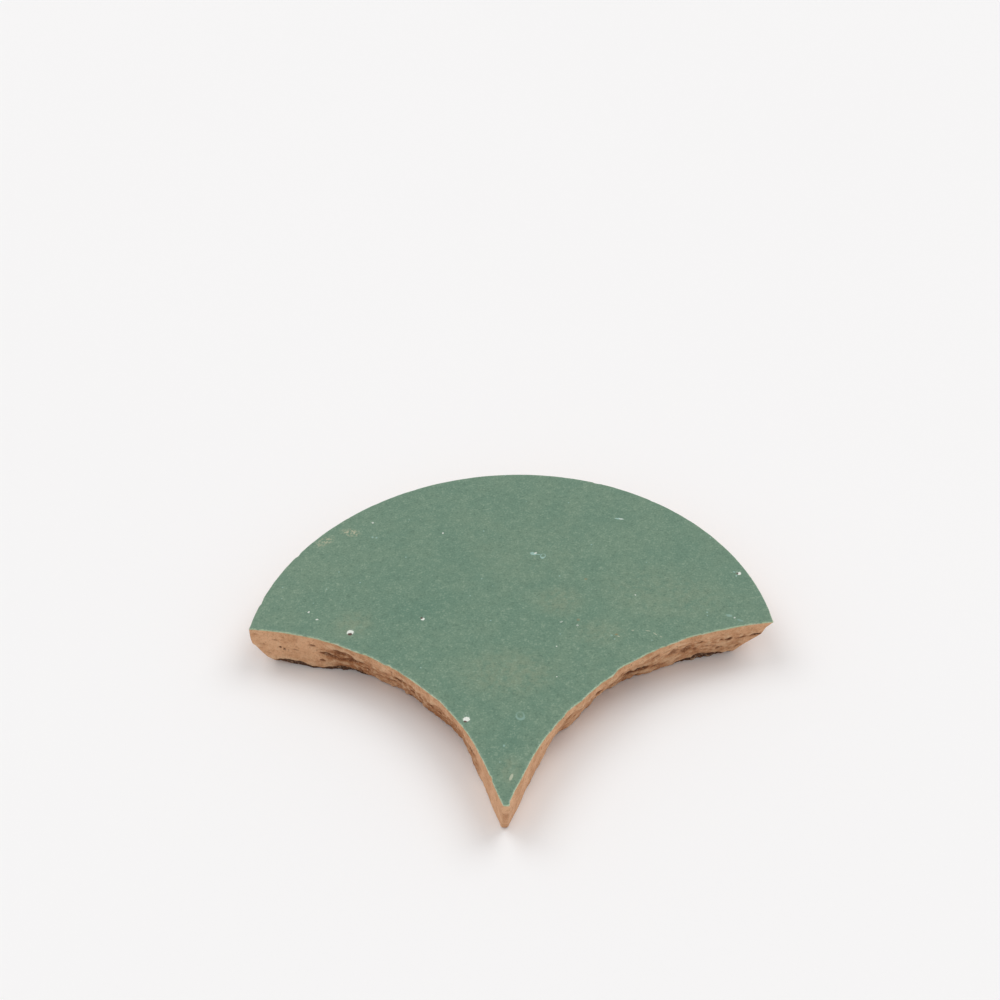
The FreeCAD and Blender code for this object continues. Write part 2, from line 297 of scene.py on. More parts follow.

# Each edge's marks: share of the way along it, height, half length, half height, depth and, where
# they matter, soft, stain (the clay's own brown, and painted shade in dents and pits) and slope
CHISEL_MARKS = tuple(ChiselMark(edge, *row) for edge, rows in {
    # Pits, dashes and smudges in the smooth end, then the long scar and the cavities
    Edge.LEFT_FLANK: (
        (0.918, 5.8, 0.45, 0.45, 0.35, 0.6, 1), (0.907, 5.2, 0.45, 0.5, 0.35, 0.6, 1),
        (0.896, 5.1, 0.4, 0.24, 0.3, 0.8, 0.6), (0.876, 5.5, 1.2, 0.28, 0.3, 0.8, 0.55),
        (0.930, 7.9, 1.2, 0.5, 0.2, 0.9, 0.4), (0.911, 8.3, 0.5, 0.4, 0.15, 0.9, 0.35),
        (0.985, 9.3, 1.6, 0.4, 0.15, 0.9, 0.35), (0.965, 6.3, 1.5, 0.5, 0.15, 0.9, 0.3, 0.3),
        (0.953, 3.6, 1.3, 0.45, 0.2, 0.9, 0.35, 0.4), (0.823, 8, 1.7, 0.7, 0.3, 0.9, 0.5),
        (0.735, 6, 7, 2.9, 0.6, 0.5, 0.4, -0.05), (0.782, 5.3, 2.9, 0.55, 0.35, 0.7, 1, 0.27),
        (0.744, 8.1, 2.7, 0.45, 0.3, 0.8, 0.95, -0.24), (0.800, 3.2, 1.1, 0.5, 0.4, 0.8, 0.9),
        (0.745, 6.4, 3.2, 0.3, 0.3, 0.9, 0.6, 0.05), (0.715, 5, 3, 0.3, 0.3, 0.9, 0.6, -0.1),
        (0.700, 7.2, 2.6, 0.3, 0.3, 0.9, 0.55, -0.2), (0.680, 3.6, 2.2, 0.35, 0.35, 0.9, 0.7, 0.1),
        (0.655, 5.6, 2.4, 0.3, 0.3, 0.9, 0.5, -0.1), (0.639, 5, 0.7, 0.6, -0.5, 0.9),
        (0.572, 8.6, 0.3, 2, 0.3, 0.8, 0.5), (0.560, 6.6, 1.4, 0.7, 0.6, 0.7, 0.9, 0.1),
        (0.532, 7.6, 1.2, 0.6, 0.5, 0.7, 0.8, -0.2), (0.501, 6, 1.5, 0.7, 0.65, 0.7, 1, -0.2),
        (0.475, 5.8, 1.4, 0.7, 0.6, 0.7, 0.9, -0.2), (0.440, 6.8, 1.2, 0.5, 0.4, 0.8, 0.6),
        (0.400, 5, 2.4, 1.2, 0.4, 0.8, 0.5), (0.246, 5.6, 3, 2, 0.25, 0.6, 0.3, -0.3)),
    # A corner crack and pits, the scallop, the crack with its lip, cavities, the lump
    Edge.RIGHT_FLANK: (
        (0.046, 7.0, 1.8, 0.6, 0.4, 0.5, 1, -0.05), (0.080, 6.6, 1.6, 0.3, 0.3, 0.8, 0.8, -0.25),
        (0.120, 6.6, 1.05, 0.65, 0.35, 0.5, 1), (0.141, 6.8, 0.8, 0.35, 0.4, 0.8, 0.55),
        (0.141, 3.6, 1.2, 0.5, 0.5, 0.8, 0.8), (0.175, 5.2, 1.2, 0.4, 0.4, 0.8, 0.5, 0.2),
        (0.200, 7.4, 1.4, 0.4, 0.3, 0.8, 0.45, -0.2), (0.246, 6.3, 4.2, 3, 0.4, 0.5, 0.05),
        (0.290, 7, 2.6, 2.2, 0.3, 0.4, 0.05), (0.385, 4.4, 4.0, 1.6, 0.55, 0.3, 0.95, 0.28),
        (0.395, 3.8, 3.4, 2.2, 0.0, 0.8, 0.6, 0.28), (0.352, 1.9, 3.6, 0.9, -0.5, 0.9),
        (0.464, 2.8, 2, 1.2, 0.6, 0.7, 0.7), (0.520, 6, 1.6, 0.9, 0.5, 0.7, 0.5),
        (0.655, 7.5, 2.6, 1.4, 0.35, 0.7, 0.5)),
    # Wide scoops out of the lower edge
    Edge.CROWN: (
        (0.14, 0.0, 8.0, 8.0, 2.0), (0.34, 0.0, 11.0, 8.0, 2.5), (0.53, 0.0, 7.5, 8.0, 1.8),
        (0.70, 0.0, 10.0, 8.0, 2.4), (0.88, 0.0, 7.0, 8.0, 1.8)),
}.items() for row in rows)


@dataclass(frozen=True)
class Noise:
    """Seeded smooth noise and flake scars in space, the same on every run."""
    seed: int
    # How much the depths of neighbouring scars differ
    scar_spread: float = 0.3

    def even(self, cells: np.ndarray, channel: int = 0) -> np.ndarray:
        """One even random number for each whole-number cell, by mixing the bits of its place.

        Args:
            cells: whole numbers, (..., 3).
            channel: picks another, unrelated number of the same cell.
        Returns:
            Numbers from 0 to 1, (...).
        """
        bits = np.uint32((self.seed * SEED_STEP + channel * CHANNEL_STEP) % WORD)
        for axis, factor in enumerate(AXIS_FACTORS):
            bits = bits ^ cells[..., axis].astype(np.int64).astype(np.uint32) * np.uint32(factor)
        for shift, factor in MIX_STEPS:
            bits = (bits ^ (bits >> np.uint32(shift))) * np.uint32(factor)
        return (bits ^ (bits >> np.uint32(LAST_SHIFT))).astype(float) / WORD

    def smooth(self, points: np.ndarray, size: float) -> np.ndarray:
        """Blends the random numbers of the eight cell corners round each point.

        Args:
            points: places, (..., 3).
            size: width of a cell.
        Returns:
            Numbers from -1 to 1, (...).
        """
        grid = points / size
        cell = np.floor(grid)
        part = ease(grid - cell, 0.0, 1.0)
        total = np.zeros(points.shape[:-1])
        for corner in product((0, 1), repeat=3):
            weight = np.prod(np.where(corner, part, 1 - part), axis=-1)
            total += weight * self.even(cell + corner)
        return 2 * total - 1

    def rough(self, points: np.ndarray, size: float, layers: int = 4) -> np.ndarray:
        """Adds layers of smooth noise, each half as wide and half as strong as the last.

        Args:
            points: places, (..., 3).
            size: width of the widest layer's cells.
            layers: how many layers.
        Returns:
            Numbers of about -1 to 1, (...).
        """
        total = np.zeros(points.shape[:-1])
        for layer in range(layers):
            total += self.smooth(points + LAYER_SHIFT * layer, size / 2 ** layer) / 2 ** layer
        return total / (2 - 2 ** (1 - layers))

    def raised(self, points: np.ndarray, size: float, layers: int = 4) -> np.ndarray:
        """The same rough noise, lifted to about 0 to 1."""
        return 0.5 + 0.5 * self.rough(points, size, layers)

    def scars(self, points: np.ndarray, size: float) -> np.ndarray:
        """Shell-like bowls with sharp ridges between them, as flakes leave when clay is chipped.

        Each cell holds one scattered centre with a height of its own, and the depth is 1 less the
        least of height plus squared distance, so that neighbouring bowls meet in a ridge.

        Args:
            points: places, (..., 3).
            size: width of a cell.
        Returns:
            Depths from about 0 on a ridge to 1 in a bowl, (...).
        """
        grid = points / size
        cell = np.floor(grid)
        nearest = np.full(points.shape[:-1], np.inf)
        for offset in product((-1, 0, 1), repeat=3):
            home = cell + offset
            centre = home + np.stack([self.even(home, channel) for channel in (1, 2, 3)], axis=-1)
            away = ((grid - centre) ** 2).sum(-1) + self.scar_spread * self.even(home, 4)
            nearest = np.minimum(nearest, away)
        return np.clip(1 - nearest, 0, 1)


@dataclass(frozen=True)
class ScaleOutline:
    """The scale's outline from above: a round crown, hollow flanks with straight ends, a blunt tip."""
    half_width: float
    half_length: float
    crown_rise: float = 52.8
    tip_width: float = 1.4
    tip_angle: float = 42.0
    tip_side: float = 11.0

    @property
    def rim_corner(self) -> np.ndarray:
        """The right corner of the glazed face."""
        return np.array([self.half_width, self.half_length - self.crown_rise])

    def crown_circle(self) -> tuple[np.ndarray, float]:
        """The crown's centre and radius: the circle through both corners and the top."""
        radius = (self.half_width ** 2 + self.crown_rise ** 2) / (2 * self.crown_rise)
        return np.array([0.0, self.half_length - radius]), radius

    def crown_length(self) -> float:
        """The crown's length along the rim."""
        _, radius = self.crown_circle()
        return 2 * radius * np.arccos(1 - self.crown_rise / radius)

    def tip_ways(self) -> tuple[np.ndarray, np.ndarray]:
        """The way up the tip's right side, and the way out from it.

        Returns:
            Two directions.
        """
        half_angle = np.radians(self.tip_angle / 2)
        up = np.array([np.sin(half_angle), np.cos(half_angle)])
        return up, np.array([up[1], -up[0]])

    def flank_circle(self) -> tuple[np.ndarray, float]:
        """The right flank's centre and radius.

        The circle runs through the corner, and meets the tip's straight side along that side.

        Returns:
            The centre and the radius.
        """
        up, out = self.tip_ways()
        bend = np.array([self.tip_width / 2, -self.half_length]) + self.tip_side * up
        chord = self.rim_corner - bend
        radius = chord @ chord / (2 * out @ chord)
        return bend + radius * out, radius

    def flank_turn(self) -> float:
        """The angle that the right flank's arc turns through on the rim."""
        centre, radius = self.flank_circle()
        return float(np.arccos((centre - self.rim_corner) @ self.tip_ways()[1] / radius))

    def flank_way(self, points: np.ndarray) -> np.ndarray:
        """How far along the right flank points lie, measured on the rim from its corner.

        On the arc it is the turn about the flank's centre times the radius, and past the bend the
        distance down the straight side is added.

        Args:
            points: places, (..., 2).
        Returns:
            Distances, (...).
        """
        centre, radius = self.flank_circle()
        first, spoke = self.rim_corner - centre, points - centre
        turn = np.arctan2(first[0] * spoke[..., 1] - first[1] * spoke[..., 0], spoke @ first)
        bend = self.flank_turn()
        straight = (turn > bend) * ((centre - points) @ self.tip_ways()[0])
        return radius * np.minimum(turn, bend) + straight

    def corner(self, crown_radius: np.ndarray, flank_radius: np.ndarray) -> np.ndarray:
        """The right corner, where the crown's circle meets the flank's.

        Args:
            crown_radius, flank_radius: one radius for each level.
        Returns:
            Points, (levels, 2).
        """
        crown_centre, _ = self.crown_circle()
        between = self.flank_circle()[0] - crown_centre
        apart = np.hypot(*between)
        forward = between / apart
        aside = np.array([-forward[1], forward[0]])
        near = (crown_radius ** 2 - flank_radius ** 2 + apart ** 2) / (2 * apart)
        up = np.sqrt(crown_radius ** 2 - near ** 2)
        return crown_centre + near[:, None] * forward + up[:, None] * aside

    def flank(self, inset: np.ndarray, corner: np.ndarray, tip_y: np.ndarray,
              share: np.ndarray) -> tuple[np.ndarray, np.ndarray]:
        """The right flank moved inwards: its arc from the corner, then the straight run to the tip.

        The arc keeps its centre, and its share of the way is the same at every level.

        Args:
            inset: how far it is moved in, one for each level.
            corner: its corner, (levels, 2).
            tip_y: where the tip's end lies, one for each level.
            share: shares of the way from the corner to the tip.
        Returns:
            Points and outward directions, each (levels, shares, 2).
        """
        centre, radius = self.flank_circle()
        up, out = self.tip_ways()
        bend = centre - (radius + inset)[:, None] * out
        end = bend + ((tip_y - bend[:, 1]) / up[1])[:, None] * up
        arc_length = radius * self.flank_turn()
        bent = arc_length / (arc_length + self.tip_side)
        turned = np.minimum(share / bent, 1)
        hollow = arc(centre, (radius + inset)[:, None], corner, bend, turned, -1)
        side = line(bend, end, np.clip((share - bent) / (1 - bent), 0, 1), out)
        return tuple(np.where((share < bent)[:, None], *pair) for pair in zip(hollow, side))

    def ring(self, insets: np.ndarray, corner_insets: np.ndarray,
             path: "RimPath") -> tuple[np.ndarray, np.ndarray]:
        """The outline with each edge moved inwards, at several levels at once.

        The edges meet where the moved lines cross, so that a column of points stays at the same
        share of its edge on all levels. Near each corner the crown's inset eases into the corner's.

        Args:
            insets: how far each edge is moved in, (levels, edges).
            corner_insets: how far the crown is moved in at its left and right end, (levels, 2).
            path: the columns round the outline.
        Returns:
            Points and outward directions, each (levels, columns, 2).
        """
        centre, radius = self.crown_circle()
        _, flank_radius = self.flank_circle()
        share = [path.share[path.edge == edge] for edge in Edge]
        crown = insets[:, [Edge.CROWN]]
        depth = np.repeat(crown, len(share[Edge.CROWN]), axis=1)
        for end, from_end in enumerate((share[Edge.CROWN], 1 - share[Edge.CROWN])):
            near = 1 - ease(from_end * self.crown_length(), 0.0, path.corner_reach)
            depth = depth + near * (corner_insets[:, [end]] - crown)
        left_corner, right_corner = (
            self.corner(radius - corner_insets[:, end], flank_radius + insets[:, edge])
            for end, edge in enumerate((Edge.LEFT_FLANK, Edge.RIGHT_FLANK)))
        tip_y = insets[:, Edge.TIP] - self.half_length
        right = self.flank(insets[:, Edge.RIGHT_FLANK], right_corner, tip_y,
                           np.append(share[Edge.RIGHT_FLANK], 1.0))
        left = self.flank(insets[:, Edge.LEFT_FLANK], left_corner, tip_y, 1 - share[Edge.LEFT_FLANK])
        parts = [
            arc(centre, radius - depth, left_corner * MIRROR, right_corner, share[Edge.CROWN], 1),
            tuple(half[:, :-1] for half in right),
            line(right[0][:, -1], left[0][:, 0] * MIRROR, share[Edge.TIP], np.array([0.0, -1.0])),
            tuple(half * MIRROR for half in left),
        ]
        return tuple(np.concatenate(halves, axis=1) for halves in zip(*parts))


def arc(centre: np.ndarray, radius: np.ndarray, start: np.ndarray, end: np.ndarray,
        share: np.ndarray, outward: int) -> tuple[np.ndarray, np.ndarray]:
    """Points on an arc about a centre, at given shares of its turn.

    Args:
        centre: the arc's centre.
        radius: a radius for each level, or for each level and share.
        start, end: its two ends, (levels, 2).
        share: shares of the turn from start to end.
        outward: 1 where the tile lies inside the arc, -1 where it lies outside.
    Returns:
        Points and outward directions, each (levels, shares, 2).
    """
    first, last = (np.arctan2(*(point - centre).T[::-1]) for point in (start, end))
    turn = first[:, None] + (last - first)[:, None] * share
    spoke = np.stack([np.cos(turn), np.sin(turn)], axis=-1)
    return centre + radius[..., None] * spoke, outward * spoke


def line(start: np.ndarray, end: np.ndarray, share: np.ndarray,
         outward: np.ndarray) -> tuple[np.ndarray, np.ndarray]:
    """Points on a straight edge, at given shares of its length.

    Args:
        start, end: its two ends, (levels, 2).
        share: shares of the way from start to end.
        outward: the direction away from the tile.
    Returns:
        Points and outward directions, each (levels, shares, 2).
    """
    points = start[:, None] + (end - start)[:, None] * share[:, None]
    return points, np.broadcast_to(outward, points.shape)


@dataclass(frozen=True)
class RimPath:
    """Columns of points round the outline: which edge each is on, and where along it.

    The crown has as many columns as the flanks and the tip together, so that column i of the crown
    faces column 2 * crown_columns - i across the tile.
    """
    outline: ScaleOutline
    crown_columns: int
    tip_columns: int = 8
    corner_reach: float = 14.0

    @property
    def columns(self) -> int:
        """The number of columns all round."""
        return 2 * self.crown_columns

    @property
    def counts(self) -> tuple[int, int, int, int]:
        """The number of columns on each edge."""
        flank = (self.crown_columns - self.tip_columns) // 2
        return self.crown_columns, flank, self.tip_columns, flank

    @property
    def edge(self) -> np.ndarray:
        """The edge that each column is on."""
        return np.repeat(np.arange(len(Edge)), self.counts)

    @property
    def share(self) -> np.ndarray:
        """Each column's share of the way along its edge."""
        return np.concatenate([np.arange(count) / count for count in self.counts])

    @property
    def lengths(self) -> np.ndarray:
        """The length of each edge, measured along the rim."""
        flank = self.outline.flank_circle()[1] * self.outline.flank_turn() + self.outline.tip_side
        return np.array([self.outline.crown_length(), flank, self.outline.tip_width, flank])

    def distance(self) -> np.ndarray:
        """Each column's way round the rim from the left corner."""
        starts = np.concatenate([[0.0], np.cumsum(self.lengths)[:-1]])
        return starts[self.edge] + self.share * self.lengths[self.edge]

    def ways(self, points: np.ndarray) -> np.ndarray:
        """Each point's way along its own edge, measured on the rim.

        Args:
            points: places round the outline at several levels, (levels, columns, 2).
        Returns:
            Distances, (levels, columns).
        """
        plain = np.broadcast_to(self.share * self.lengths[self.edge], points.shape[:2])
        right = self.outline.flank_way(points)
        left = self.lengths[Edge.LEFT_FLANK] - self.outline.flank_way(points * MIRROR)
        flanks = [self.edge == edge for edge in (Edge.RIGHT_FLANK, Edge.LEFT_FLANK)]
        return np.select(flanks, [right, left], plain)

    def corner_way(self) -> np.ndarray:
        """Each column's way round the outline from the nearer of the two side corners."""
        way, total = self.distance(), self.lengths.sum()
        return np.minimum(np.minimum(way, total - way), np.abs(way - self.lengths[Edge.CROWN]))

    def from_corners(self) -> np.ndarray:
        """Each column's distance from the nearest end of an edge."""
        ends = np.minimum(self.share, 1 - self.share)
        return ends * self.lengths[self.edge]


@dataclass
class Skin:
    """Points of a part of the tile's skin, with what its finishes need to know there."""
    points: np.ndarray
    rim: np.ndarray
    # hollow drives painted shade in the clay's hollows; stain holds the clay's own stains and painted
    # shade in the recess under the lip and in dents and pits
    hollow: np.ndarray
    stain_and_shade: np.ndarray
    brown: np.ndarray


@dataclass(frozen=True)
class ChiselledEdge:
    """The tile's rim and side: a profile carried round the outline and roughened by the chisel."""
    outline: ScaleOutline
    path: RimPath
    thickness: float
    arris_depth: float = 2.0
    # Undercut of each edge in degrees, in the order of Edge
    undercuts: tuple[float, ...] = (26.0, 10.0, 17.0, 0.0)
    # Knocked-off corners, left and right: how far they are cut back at depths under the face
    corner_cuts: tuple[tuple[tuple[float, float], ...], ...] = (
        ((3.2, 0.0), (4.9, 0.25), (5.6, 1.0), (7.5, 2.2), (9.0, 3.4), (9.9, 4.9), (11.0, 6.0)),
        ((0.4, 0.2), (1.85, 1.75), (2.75, 2.0), (4.25, 2.6), (5.85, 4.5), (7.4, 6.45), (9.8, 8.9),
         (11.0, 10.0)))
    # How far those corners stay off the floor, and the ways from them where that ends and is whole
    corner_lift: float = 1.1
    corner_span: tuple[float, float] = (4.0, 0.5)
    # Rim rows: inset from the outline, depth under the face, paleness of the worn glaze
    rim_rows: tuple[tuple[float, float, float], ...] = (
        (0.70, 0.00, 0.0), (0.42, 0.006, 0.0), (0.24, 0.02, 0.25), (0.11, 0.05, 0.65),
        (0.03, 0.11, 1.0), (0.0, 0.18, 1.0), (0.0, 0.26, 1.0), (0.02, 0.36, 1.0))
    clay_rows: int = 38
    # Flake scars from coarse to fine: width and depth
    flakes: tuple[tuple[float, float], ...] = ((5.0, 0.6), (1.9, 0.5), (0.95, 0.28))
    strata_size: float = 2.6
    strata_depth: float = 0.35
    strata_squeeze: float = 2.6
    grain_size: float = 0.7
    grain_depth: float = 0.16
    # Depths under the face between which the broken relief, the chisel's marks and the brown come in
    break_span: tuple[float, float] = (0.5, 3.2)
    mark_span: tuple[float, float] = (0.4, 1.6)
    brown_span: tuple[float, float] = (1.5, 5.0)
    brown_at_rim: float = 0.4
    # The rim's wear: fine nicks, chips where noise is in the span, and how far down both fade
    nick_size: float = 2.2
    nick_depth: float = 0.14
    chip_size: float = 3.0
    chip_depth: float = 0.35
    chip_span: tuple[float, float] = (0.35, 0.8)
    wear_fade: float = 1.2
    # The lip's waver, the recess under it and how far under it the recess and its painted shade are
    # whole
    lip_size: float = 3.0
    lip_waver: float = 0.5
    recess_step: float = 0.3
    recess_slope: float = 0.15
    recess_drop: float = 0.3
    recess_shade_drop: float = 0.35
    # The way from an edge's end in which its relief fades out
    end_fade: float = 1.2
    # The tip's rounding: ways from its middle where it ends and is whole, its share at the rim, how
    # often it is done, and over how many columns to each side
    tip_span: tuple[float, float] = (2.6, 0.6)
    tip_at_rim: float = 0.3
    tip_passes: int = 3
    tip_columns: int = 2
    # The neighbourhood that tells a hollow from a ridge, in rows and columns, and a whole hollow's
    # depth
    hollow_reach: int = 5
    hollow_depth: float = 0.25

    @property
    def first_clay_row(self) -> int:
        """The row at which the glaze ends and bare clay begins."""
        return len(self.rim_rows) - 1

    def depths(self) -> np.ndarray:
        """Each row's depth under the face.

        Returns:
            Depths, from the rim down.
        """
        rim = np.array([depth for _, depth, _ in self.rim_rows])
        clay = np.linspace(rim[-1], self.thickness, self.clay_rows + 1)[1:]
        return np.concatenate([rim, clay])

    def rounding(self) -> np.ndarray:
        """How far each row is moved in by the rim's rounding, a column of numbers.

        Returns:
            Distances, (rows, 1).
        """
        rounding = np.zeros((len(self.depths()), 1))
        rounding[:len(self.rim_rows), 0] = [inset for inset, _, _ in self.rim_rows]
        return rounding

    def insets(self) -> np.ndarray:
        """How far each row is moved in on each edge: the rim's rounding and the undercut."""
        below = np.clip(self.depths() - self.arris_depth, 0, None)
        return self.rounding() + below[:, None] * np.tan(np.radians(self.undercuts))

    def corner_insets(self) -> np.ndarray:
        """How far each row of the crown is moved in at its left and right end."""
        cuts = [np.interp(self.depths(), *zip(*cut), left=0.0) for cut in self.corner_cuts]
        return self.rounding() + np.stack(cuts, axis=-1)

    def way_down(self) -> np.ndarray:
        """Each row's share of the way down the profile, measured along it on the right flank.

        Returns:
            Shares from 0 to 1.
        """
        profile = np.stack([self.depths(), self.insets()[:, Edge.RIGHT_FLANK]])
        way = np.cumsum(np.concatenate([[0.0], np.hypot(*np.diff(profile, axis=1))]))
        return way / way[-1]

    def worked(self, along: np.ndarray, trait: str) -> np.ndarray:
        """One trait of the edges' working, on straight lines between the places that name it.

        Args:
            along: each point's share of the way along its own edge, (rows, columns).
            trait: the trait's name.
        Returns:
            Its values, (rows, columns).
        """
        return self.between(along, {edge: [(work.along, getattr(work, trait)) for work in works]
                                    for edge, works in EDGE_WORK.items()})

    def between(self, along: np.ndarray, lines: dict) -> np.ndarray:
        """Numbers on straight lines between the places along each edge that name them.

        Args:
            along: each point's share of the way along its own edge, (rows, columns).
            lines: pairs of a share and a number, for each edge that has them.
        Returns:
            The numbers, (rows, columns), 0 on other edges.
        """
        values = np.zeros(along.shape)
        for edge, places in lines.items():
            mine = self.path.edge == edge
            values[:, mine] = np.interp(along[:, mine], *zip(*places))
        return values

    def fracture(self, points: np.ndarray) -> np.ndarray:
        """Depth of the broken clay's own relief.

        It is flake scars of three sizes, noise squeezed flat into strata, and grain.

        Args:
            points: places on the plain wall, (rows, columns, 3).
        Returns:
            Depths into the wall, (rows, columns).
        """
        noise = Noise(CLAY_SEED)
        relief = np.zeros(points.shape[:-1])
        for order, (size, depth) in enumerate(self.flakes):
            relief += depth * noise.scars(points + order * FLAKE_SHIFT, size)
        squeezed = points * np.array([1.0, 1.0, self.strata_squeeze])
        relief += self.strata_depth * noise.raised(squeezed, self.strata_size)
        return relief + self.grain_depth * noise.rough(points, self.grain_size, layers=2)

    def nicks(self, rim: np.ndarray) -> np.ndarray:
        """How far the rim is worn back: fine nicks everywhere, and a chip here and there.

        Args:
            rim: the rim's points, (1, columns, 3).
        Returns:
            Depths, (1, columns).
        """
        noise = Noise(RIM_SEED)
        level = rim * LEVEL
        worn = self.nick_depth * noise.raised(level, self.nick_size, layers=5)
        chips = ease(noise.rough(level + CHIP_SHIFT, self.chip_size, layers=3), *self.chip_span)
        return worn + self.chip_depth * chips

    def build(self) -> Skin:
        """Carries the profile round the outline and presses the chisel's marks into it.

        The wall is moved along the outline's outward direction. The rim's own line and its nicks
        fade out under the rim. Fracture and marks fade in there, and the cut-back grows evenly down
        to the lip. All these fade out towards the ends of an edge. Under the lip the wall steps in.
        At the side corners the foot stays off the floor.

        Returns:
            The skin, rows by columns.
        """
        depths = self.depths()[:, None]
        lift = self.corner_lift * ease(self.path.corner_way(), *self.corner_span)
        heights = np.maximum(self.thickness - depths, lift)
        flat, outward = self.outline.ring(self.insets(), self.corner_insets(), self.path)
        points = np.concatenate([flat, heights[..., None]], axis=-1)
        ways = self.path.ways(flat)
        along = ways / self.path.lengths[self.path.edge]
        ragged = 1.0 + self.lip_waver * Noise(RIM_SEED).rough(points * LEVEL, self.lip_size)
        lip = ragged * self.worked(along, "lip")
        under = np.clip(lip - heights, 0, None)
        down = np.clip((depths - self.arris_depth) / (self.thickness - self.arris_depth - lip), 0, 1)
        broken = self.fracture(points)
        rough = self.worked(along, "rough")
        relief = ease(depths, *self.break_span) * rough * (broken - broken.mean())
        relief += down * self.worked(along, "cut_back") + (1 - down) * self.between(along, RIM_LINE)
        # Painted shade: the recess under the lip is darkened through the stain numbers
        stain_and_shade = ease(under, 0.0, self.recess_shade_drop)
        for mark in CHISEL_MARKS:
            reach = mark.reach(self.path, ways, heights) * ease(depths, *self.mark_span)
            relief += mark.depth * reach
            # A mark's stain darkens the clay: its own brown, and painted shade in dents, pits and
            # cracks
            stain_and_shade = np.maximum(stain_and_shade, mark.stain_and_shade * reach)
        whole = ease(self.path.from_corners(), 0.0, self.end_fade)
        worn = (1 - self.rounding() / self.rounding()[0]) * np.exp(-depths / self.wear_fade)
        relief = whole * (relief + self.nicks(points[:1]) * worn)
        relief += self.recess_step * ease(under, 0.0, self.recess_drop) + self.recess_slope * under
        points[..., :2] -= relief[..., None] * outward
        self.round_tip(points)
        rim = np.zeros(relief.shape)
        rim[:len(self.rim_rows)] = np.array([pale for _, _, pale in self.rim_rows])[:, None]
        deep = self.brown_at_rim + (1 - self.brown_at_rim) * ease(depths, *self.brown_span)
        return Skin(points, rim, self.hollow(relief), stain_and_shade, self.worked(along, "brown") * deep)

    def round_tip(self, points: np.ndarray) -> None:
        """Rounds the tip by drawing points near it towards the mean of their row, most at the foot.

        Args:
            points: places, (rows, columns, 3), moved as they are.
        """
        middle = self.path.lengths[:Edge.TIP].sum() + self.path.lengths[Edge.TIP] / 2
        near = ease(np.abs(self.path.distance() - middle), *self.tip_span)
        foot = ease(self.depths(), 0.0, self.thickness)
        share = near * (self.tip_at_rim + (1 - self.tip_at_rim) * foot)[:, None]
        steps = range(-self.tip_columns, self.tip_columns + 1)
        for _ in range(self.tip_passes):
            mean = np.mean([np.roll(points[..., :2], step, axis=1) for step in steps], axis=0)
            points[..., :2] += share[..., None] * (mean - points[..., :2])

    def hollow(self, relief: np.ndarray) -> np.ndarray:
        """How far each point lies behind its neighbourhood: the relief less its own running mean.

        Args:
            relief: depths into the wall, (rows, columns).
        Returns:
            Numbers of about -1 on a ridge to 1 in a hollow.
        """
        reach, rows = self.hollow_reach, relief.shape[0]
        mean = np.mean([np.roll(relief, step, axis=1) for step in range(-reach, reach + 1)], axis=0)
        padded = np.pad(mean, ((reach, reach), (0, 0)), mode="edge")
        mean = np.mean([padded[step:step + rows] for step in range(2 * reach + 1)], axis=0)
        return np.clip((relief - mean) / self.hollow_depth, -1, 1)


@dataclass(frozen=True)
class Sheet:
    """A sheet ruled across the tile, from a ring's crown half to its flank half."""
    path: RimPath
    rows: int
    evenness: float

    def shares(self) -> np.ndarray:
        """Each row's share of the way from the crown to the flanks, closer together at the ends."""
        even = np.arange(self.rows + 1) / self.rows
        return self.evenness * even + (1 - self.evenness) * (1 - np.cos(np.pi * even)) / 2

    def ruled(self, ring: np.ndarray) -> np.ndarray:
        """Straight lines from each crown column to the column that faces it across the tile.

        Args:
            ring: values at the columns, (columns, ...).
        Returns:
            The inner points, (rows - 1, crown columns - 1, ...).
        """
        crown = self.path.crown_columns
        start = ring[1:crown]
        end = ring[:crown:-1]
        share = self.shares()[1:-1].reshape(-1, 1, *([1] * (ring.ndim - 1)))
        return start + share * (end - start)

    def indices(self, ring: np.ndarray, first: int) -> np.ndarray:
        """The numbers of the sheet's points, with the ring's own points round it.

        Args:
            ring: the numbers of the ring's points, (columns).
            first: the number of the sheet's first inner point.
        Returns:
            Numbers, (rows + 1, crown columns + 1).
        """
        crown = self.path.crown_columns
        grid = np.empty((self.rows + 1, crown + 1), np.int64)
        grid[0] = ring[:crown + 1]
        grid[-1] = np.concatenate([ring[:1], ring[:crown - 1:-1]])
        grid[:, 0] = ring[0]
        grid[:, -1] = ring[crown]
        inner = (self.rows - 1) * (crown - 1)
        grid[1:-1, 1:-1] = first + np.arange(inner).reshape(self.rows - 1, crown - 1)
        return grid


